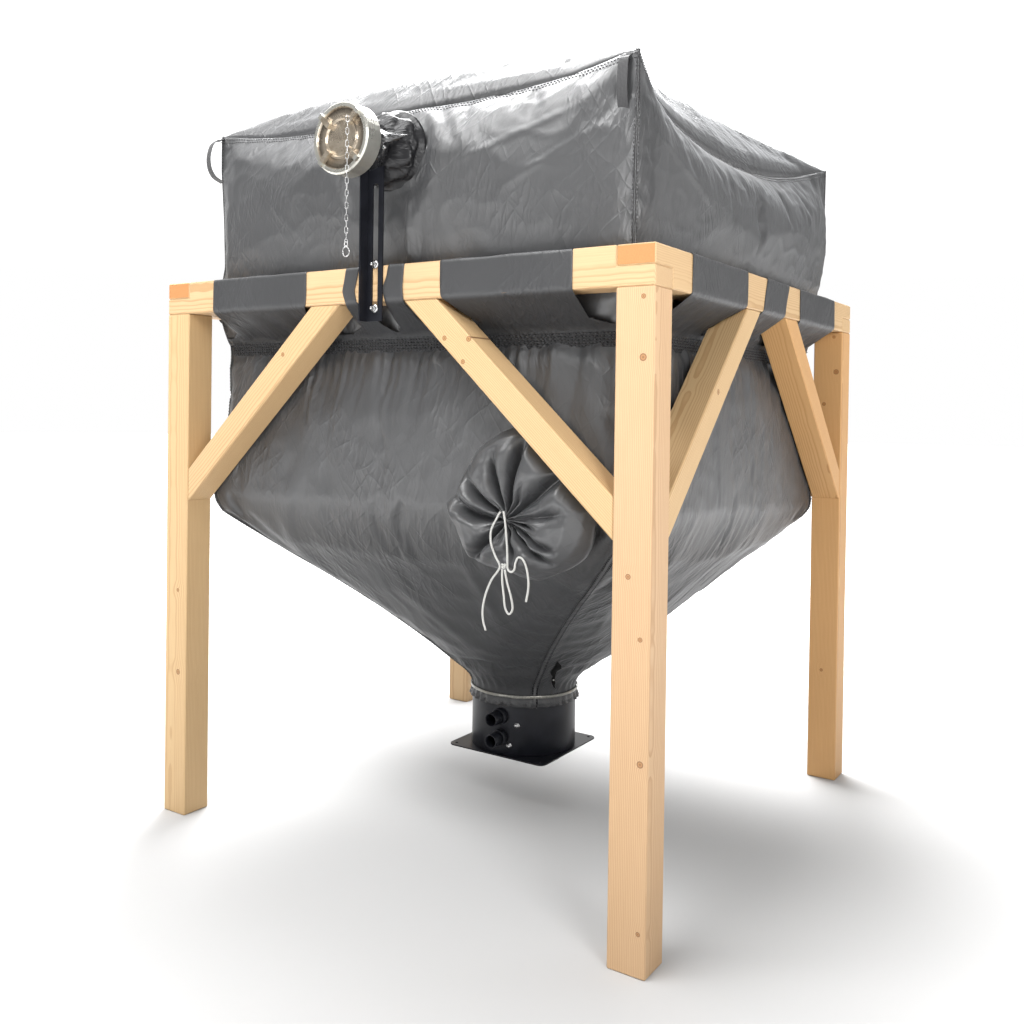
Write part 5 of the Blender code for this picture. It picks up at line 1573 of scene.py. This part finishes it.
def lathe(profile, axis_at, toward, sides=32):
    """Turns a profile of (radius, height) about an axis; one that comes back to its start is a tube."""
    made = bmesh.new()
    turn = Vector((0, 0, 1)).rotation_difference(Vector(toward))
    rings = []
    for radius, height in profile:
        ring = [Vector((x, y, height)) for x, y in circle(radius, sides)]
        rings.append([made.verts.new(Vector(axis_at) + turn @ p) for p in ring])
    for low, high in zip(rings, rings[1:]):
        for k in range(sides):
            m = (k + 1) % sides
            made.faces.new((low[k], low[m], high[m], high[k])).smooth = sides > 8
    if profile[0] != profile[-1]:
        made.faces.new(list(reversed(rings[0])))
        made.faces.new(rings[-1])
    bmesh.ops.remove_doubles(made, verts=made.verts, dist=0.00002)
    bmesh.ops.recalc_face_normals(made, faces=made.faces)
    return made


def merged(parts):
    whole = bmesh.new()
    for part in parts:
        mesh = plain_mesh("part", part)
        whole.from_mesh(mesh)
        bpy.data.meshes.remove(mesh)
    return whole


def make_filler():
    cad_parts["filler_cap"].material_slots[0].material = cap_look()
    steel = coat_look("black_coated_steel", (0.0065, 0.0070, 0.0095), 0.40)
    for name in ("filler_coupling", "filler_pipe", "filler_bracket", "base_plate"):
        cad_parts[name].material_slots[0].material = steel
    make_cuff(cloth_look("coated_polyester", (0.014, 0.014, 0.015), 0.05, 0.17))
    chrome = metal_look("zinc_plate", (0.56, 0.56, 0.56), 0.26, 160.0)
    ball = [(0.0001, 0.0), (0.0065, 0.0), (0.0065, 0.0012), (0.0045, 0.0030), (0.0040, 0.0050),
            (0.0030, 0.0066), (0.0001, 0.0074)]
    knob = lathe(ball, (0.0605, -0.820 + FRAME_Y, 1.894), (0.95, -0.25, -0.18), 20)
    add_piece("clip_knob", knob, chrome)
    return chrome, steel


zinc, black_steel = make_filler()


# Bolts: M8 zinc hex bolts through the slotted angle, and two dome screws in the housing
# Each bolt shows its washer, its nut and the threaded end of its shank.
BOLT_PLACES = ((0.019, -0.8000, 1.603), (0.019, -0.8000, 1.490))
BORE = 0.0042
SCREW_PLACES = ((0.066, -0.147, 0.259), (0.044, -0.154, 0.195))
DOME = ((0.0001, 0), (0.0088, 0), (0.0088, 0.0014), (0.0060, 0.0016), (0.0054, 0.0034), (0.0030, 0.0048),
        (0.0018, 0.0048), (0.0018, 0.0030), (0.0001, 0.0030))


def hex_bolt(at, toward, length):
    washer = lathe([(BORE, 0), (0.0105, 0), (0.0105, 0.0018), (BORE, 0.0018)], at, toward)
    nut = lathe([(BORE, 0.0018), (0.0068, 0.0018), (0.0078, 0.0028), (0.0078, 0.0075), (0.0068, 0.0085),
                 (BORE, 0.0085)], at, toward, 6)
    threads = [(BORE - 0.0005 * (k % 2), 0.0006 * k) for k in range(int(length / 0.0006))]
    end = lathe([*threads, (0.0030, length), (0.0001, length)], at, toward, 20)
    return merged([washer, nut, end])


def make_bolts():
    for level, (x, y, z) in zip(("upper", "lower"), BOLT_PLACES):
        bolt = hex_bolt((x, y + FRAME_Y, z), (0, -1, 0), 0.017)
        add_piece(f"bracket_bolt_{level}", bolt, zinc)
    domes = []
    for x, y, z in SCREW_PLACES:
        out = Vector((x, y, 0)).normalized()
        domes.append(lathe(DOME, out * 0.1655 + Vector((0, FRAME_Y, z)), out, 24))
    add_piece("housing_screws", merged(domes), zinc)


make_bolts()


# Outlet housing: a short rolled steel tube on a square base plate, with two stubs in front
# The tube is 3 mm thick and coated black. Each stub is a pipe with a rounded lip in a thicker boss.
HOUSING_RADIUS = 0.1660
HOUSING_BOTTOM = 0.1643
HOUSING_TOP = 0.385
HOUSING_WALL = 0.003
STUB_PLACES = ((0.018, 0.2185), (0.018, 0.2845))
STUB_START = -0.158
STUB_LENGTH = 0.066
STUB_RADIUS = 0.0205
STUB_WALL = 0.0028
BOSS_RADIUS = 0.0250
BOSS_LENGTH = 0.026


def make_housing():
    soft = 0.0008
    inside = HOUSING_RADIUS - HOUSING_WALL
    wall_line = [(inside, HOUSING_BOTTOM), (HOUSING_RADIUS - soft, HOUSING_BOTTOM),
                 (HOUSING_RADIUS, HOUSING_BOTTOM + soft), (HOUSING_RADIUS, HOUSING_TOP - soft),
                 (HOUSING_RADIUS - soft, HOUSING_TOP), (inside, HOUSING_TOP), (inside, HOUSING_BOTTOM)]
    parts = [lathe(wall_line, (0, FRAME_Y, 0), (0, 0, 1), 128)]
    bore = STUB_RADIUS - STUB_WALL
    for x, z in STUB_PLACES:
        at = (x, STUB_START + FRAME_Y, z)
        stub = [(bore, 0), (STUB_RADIUS, 0), (STUB_RADIUS, STUB_LENGTH - 0.0015),
                (STUB_RADIUS - 0.0006, STUB_LENGTH), (bore + 0.0006, STUB_LENGTH),
                (bore, STUB_LENGTH - 0.0015), (bore, 0)]
        boss = [(STUB_RADIUS, 0), (BOSS_RADIUS, 0), (BOSS_RADIUS, BOSS_LENGTH - 0.002),
                (BOSS_RADIUS - 0.0015, BOSS_LENGTH), (STUB_RADIUS, BOSS_LENGTH), (STUB_RADIUS, 0)]
        parts += [lathe(stub, at, (0, -1, 0), 40), lathe(boss, at, (0, -1, 0), 40)]
    housing = add_piece("outlet_housing_tube", merged(parts), black_steel)
    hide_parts("outlet_housing")


make_housing()


# Neck slit: a short opening beside the hopper's seam, where the knotted end of a tie shows
# It is cut in the right-hand panel just above the clamp, and its edges gape a little; the gap is a
# near-black sheet laid on the cloth, painted shade.
SLIT_ENDS = ((-0.180, 0.488), (-0.066, 0.368))
SLIT_HALF_WIDTHS = (0.0006, 0.0050, 0.0085, 0.0095, 0.0080, 0.0050, 0.0032, 0.0042, 0.0044, 0.0030, 0.0006)
SLIT_KNOT = 0.66


def make_neck_slit():
    panel = face_finder(panels["lower_right"])
    start, end = np.array(SLIT_ENDS)
    across = np.array([-(end - start)[1], (end - start)[0]]) / np.hypot(*(end - start))

    def on_cloth(y, z, lift):
        hit, normal = panel.ray_cast((2, y + FRAME_Y, z), (-1, 0, 0))[:2]
        return hit + normal * lift * (1 if normal.x > 0 else -1)

    rows = []
    for k, half in enumerate(SLIT_HALF_WIDTHS):
        middle = start + (end - start) * k / (len(SLIT_HALF_WIDTHS) - 1)
        rows.append([on_cloth(*(middle + across * half * side), 0.0012) for side in (-1, 0, 1)])
    # The inside of the slit is a near-black sheet on the cloth: painted shade in the gap.
    inside, _, _ = new_material("slit_shadow", Roughness=0.9, Specular_IOR_Level=0.1,
                                Base_Color=(0.002, 0.002, 0.002, 1))
    gap = cloth_grid(np.array(rows))
    bmesh.ops.recalc_face_normals(gap, faces=gap.faces)
    wall(add_piece("neck_slit_opening", gap, inside), 0.0006)
    rim = [row[0] for row in rows] + [row[2] for row in reversed(rows)]
    add_piece("neck_slit_edge", sweep(rim, circle(0.0011, 8), closed=True), bag_cloth)
    knot = on_cloth(*(start + (end - start) * SLIT_KNOT), 0.002)
    ball = [(0.0001, 0), (0.0022, 0.0004), (0.0030, 0.0020), (0.0024, 0.0038), (0.0001, 0.0044)]
    add_piece("neck_slit_knot", lathe(ball, knot, (1, 0, 0), 16), drawstring_look)


make_neck_slit()


# Chain: a zinc chain with a figure-eight hook, hung from the cap's lug
# Oval links of 1.8 mm wire, each turned a quarter against the last; Geometry Nodes hang them.
LINK_WIDE = 0.0090
LINK_LONG = 0.0180
LINK_WIRE = 0.0018
LINK_PITCH = 0.0146
CHAIN_LINE = ((0.036, -0.9331, 1.944), (0.036, -0.9331, 1.640))
# Each ring of the hook: the height of its middle, half its width and half its height
HOOK_RINGS = ((1.6355, 0.0042, 0.0062), (1.6175, 0.0080, 0.0120))


def chain_rule():
    """Inputs: the line, and a link's pitch, length, width and wire."""
    tree, given, steps = new_rule("links_on_a_line", "Link length", "Link width", "Wire", "Facing")
    wide = sums(tree, "SUBTRACT", given["Link width"], given["Wire"])
    long = sums(tree, "SUBTRACT", given["Link length"], given["Wire"])
    oblong = node(tree, "GeometryNodeCurvePrimitiveQuadrilateral", {"Width": wide, "Height": long})
    values = {"Curve": oblong.outputs[0], "Count": 6, "Radius": sums(tree, "MULTIPLY", wide, 0.499)}
    oval = node(tree, "GeometryNodeFilletCurve", values, mode="POLY")
    values = {"Resolution": 8, "Radius": sums(tree, "MULTIPLY", given["Wire"], 0.5)}
    wire = node(tree, "GeometryNodeCurvePrimitiveCircle", values)
    values = {"Curve": oval.outputs[0], "Profile Curve": wire.outputs[0]}
    link = node(tree, "GeometryNodeCurveToMesh", values).outputs[0]
    upright = node(tree, "GeometryNodeTransform", {"Geometry": link, "Rotation": (pi / 2, 0, 0)}).outputs[0]
    swing = node(tree, "FunctionNodeRandomValue", {2: -0.22, 3: 0.22, "Seed": 3}, data_type="FLOAT")
    index = node(tree, "GeometryNodeInputIndex").outputs[0]
    turn = sums(tree, "MULTIPLY_ADD", index, pi / 2, swing.outputs[1])
    turn = sums(tree, "ADD", turn, given["Facing"])
    turned_by = node(tree, "ShaderNodeCombineXYZ", {2: turn}).outputs[0]
    finish_rule(tree, given, {"Points": steps, "Instance": upright, "Rotation": turned_by})
    return tree


def make_chain():
    line = smooth_path([(x, y + FRAME_Y, z) for x, y, z in CHAIN_LINE], 0.05)
    values = {"Pitch": LINK_PITCH, "Link length": LINK_LONG, "Link width": LINK_WIDE, "Wire": LINK_WIRE,
              "Facing": CAMERA_TURN, "Look": zinc}
    chain = grow("cap_chain_links", [line], chain_rule(), "zinc", **values)
    chain.data.polygons.foreach_set("use_smooth", [True] * len(chain.data.polygons))
    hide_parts("cap_chain")
    x, y, _ = CHAIN_LINE[1]
    level = Vector((cos(CAMERA_TURN), sin(CAMERA_TURN), 0))
    rings = []
    for middle, wide, tall in HOOK_RINGS:
        centre = Vector((x, y + FRAME_Y, middle))
        path = [centre + level * wide * a + Vector((0, 0, tall * b)) for a, b in circle(1.0, 40)]
        rings.append(sweep(path, circle(0.0015, 8), closed=True))
    add_piece("chain_hook", merged(rings), zinc)


make_chain()


# Clamp: a worm-drive hose clamp of stainless band, which holds the bag's neck on the outlet
# The 9 mm band has pressed slots along it, and a small housing at the back right holds the worm.
CLAMP_MIDDLE = 0.3490
CLAMP_WIDTH = 0.0090
CLAMP_THICKNESS = 0.0016
WORM_ANGLE = 1.0


def clamp_look():
    look, tree, shader = opened(metal_look("stainless_band", (0.27, 0.265, 0.24), 0.34, 90.0))
    place = where(tree)
    x, y, z = node(tree, "ShaderNodeSeparateXYZ", {0: place}).outputs
    around = sums(tree, "ARCTAN2", sums(tree, "SUBTRACT", y, FRAME_Y), x)
    slots = sums(tree, "SINE", sums(tree, "MULTIPLY_ADD", around, 230.0, sums(tree, "MULTIPLY", z, 300.0)))
    middle = sums(tree, "ABSOLUTE", sums(tree, "SUBTRACT", z, CLAMP_MIDDLE))
    inside = graded(tree, sums(tree, "MULTIPLY", middle, 100.0), (0.22, 1.0), (0.28, 0.0))
    cut = sums(tree, "MULTIPLY", inside, graded(tree, slots, (0.55, 0.0), (0.75, 1.0)))
    bright = shader.inputs["Base Color"].links[0].from_socket
    tree.links.new(blended(tree, sums(tree, "MULTIPLY", cut, 0.75), bright, (0.05, 0.05, 0.05, 1)),
                   shader.inputs["Base Color"])
    return look


def make_clamp():
    steel = clamp_look()
    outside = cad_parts["clamp_band"].dimensions.x / 2
    inside, half, soft = outside - CLAMP_THICKNESS, CLAMP_WIDTH / 2, 0.0005
    outline = [(inside, -half), (outside - soft, -half), (outside, soft - half), (outside, half - soft),
               (outside - soft, half), (inside, half), (inside, -half)]
    made = lathe(outline, (0, FRAME_Y, CLAMP_MIDDLE), (0, 0, 1), 120)
    band = add_piece("clamp_band_steel", made, steel)
    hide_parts("clamp_band")
    turn = Matrix.Translation((0, FRAME_Y, CLAMP_MIDDLE)) @ Matrix.Rotation(WORM_ANGLE, 4, "Z")
    made = bmesh.new()
    block = turn @ Matrix.Translation((outside + 0.0045, 0, 0)) @ Matrix.Diagonal((0.010, 0.016, 0.0125, 1))
    bmesh.ops.create_cube(made, size=1, matrix=block)
    head = turn @ Matrix.Translation((outside + 0.0050, 0.013, 0)) @ Matrix.Rotation(pi / 2, 4, "X")
    bmesh.ops.create_cone(made, cap_ends=True, segments=6, radius1=0.004, radius2=0.004, depth=0.010,
                          matrix=head)
    soften(add_piece("clamp_worm", made, steel), 0.0007, 2)


make_clamp()
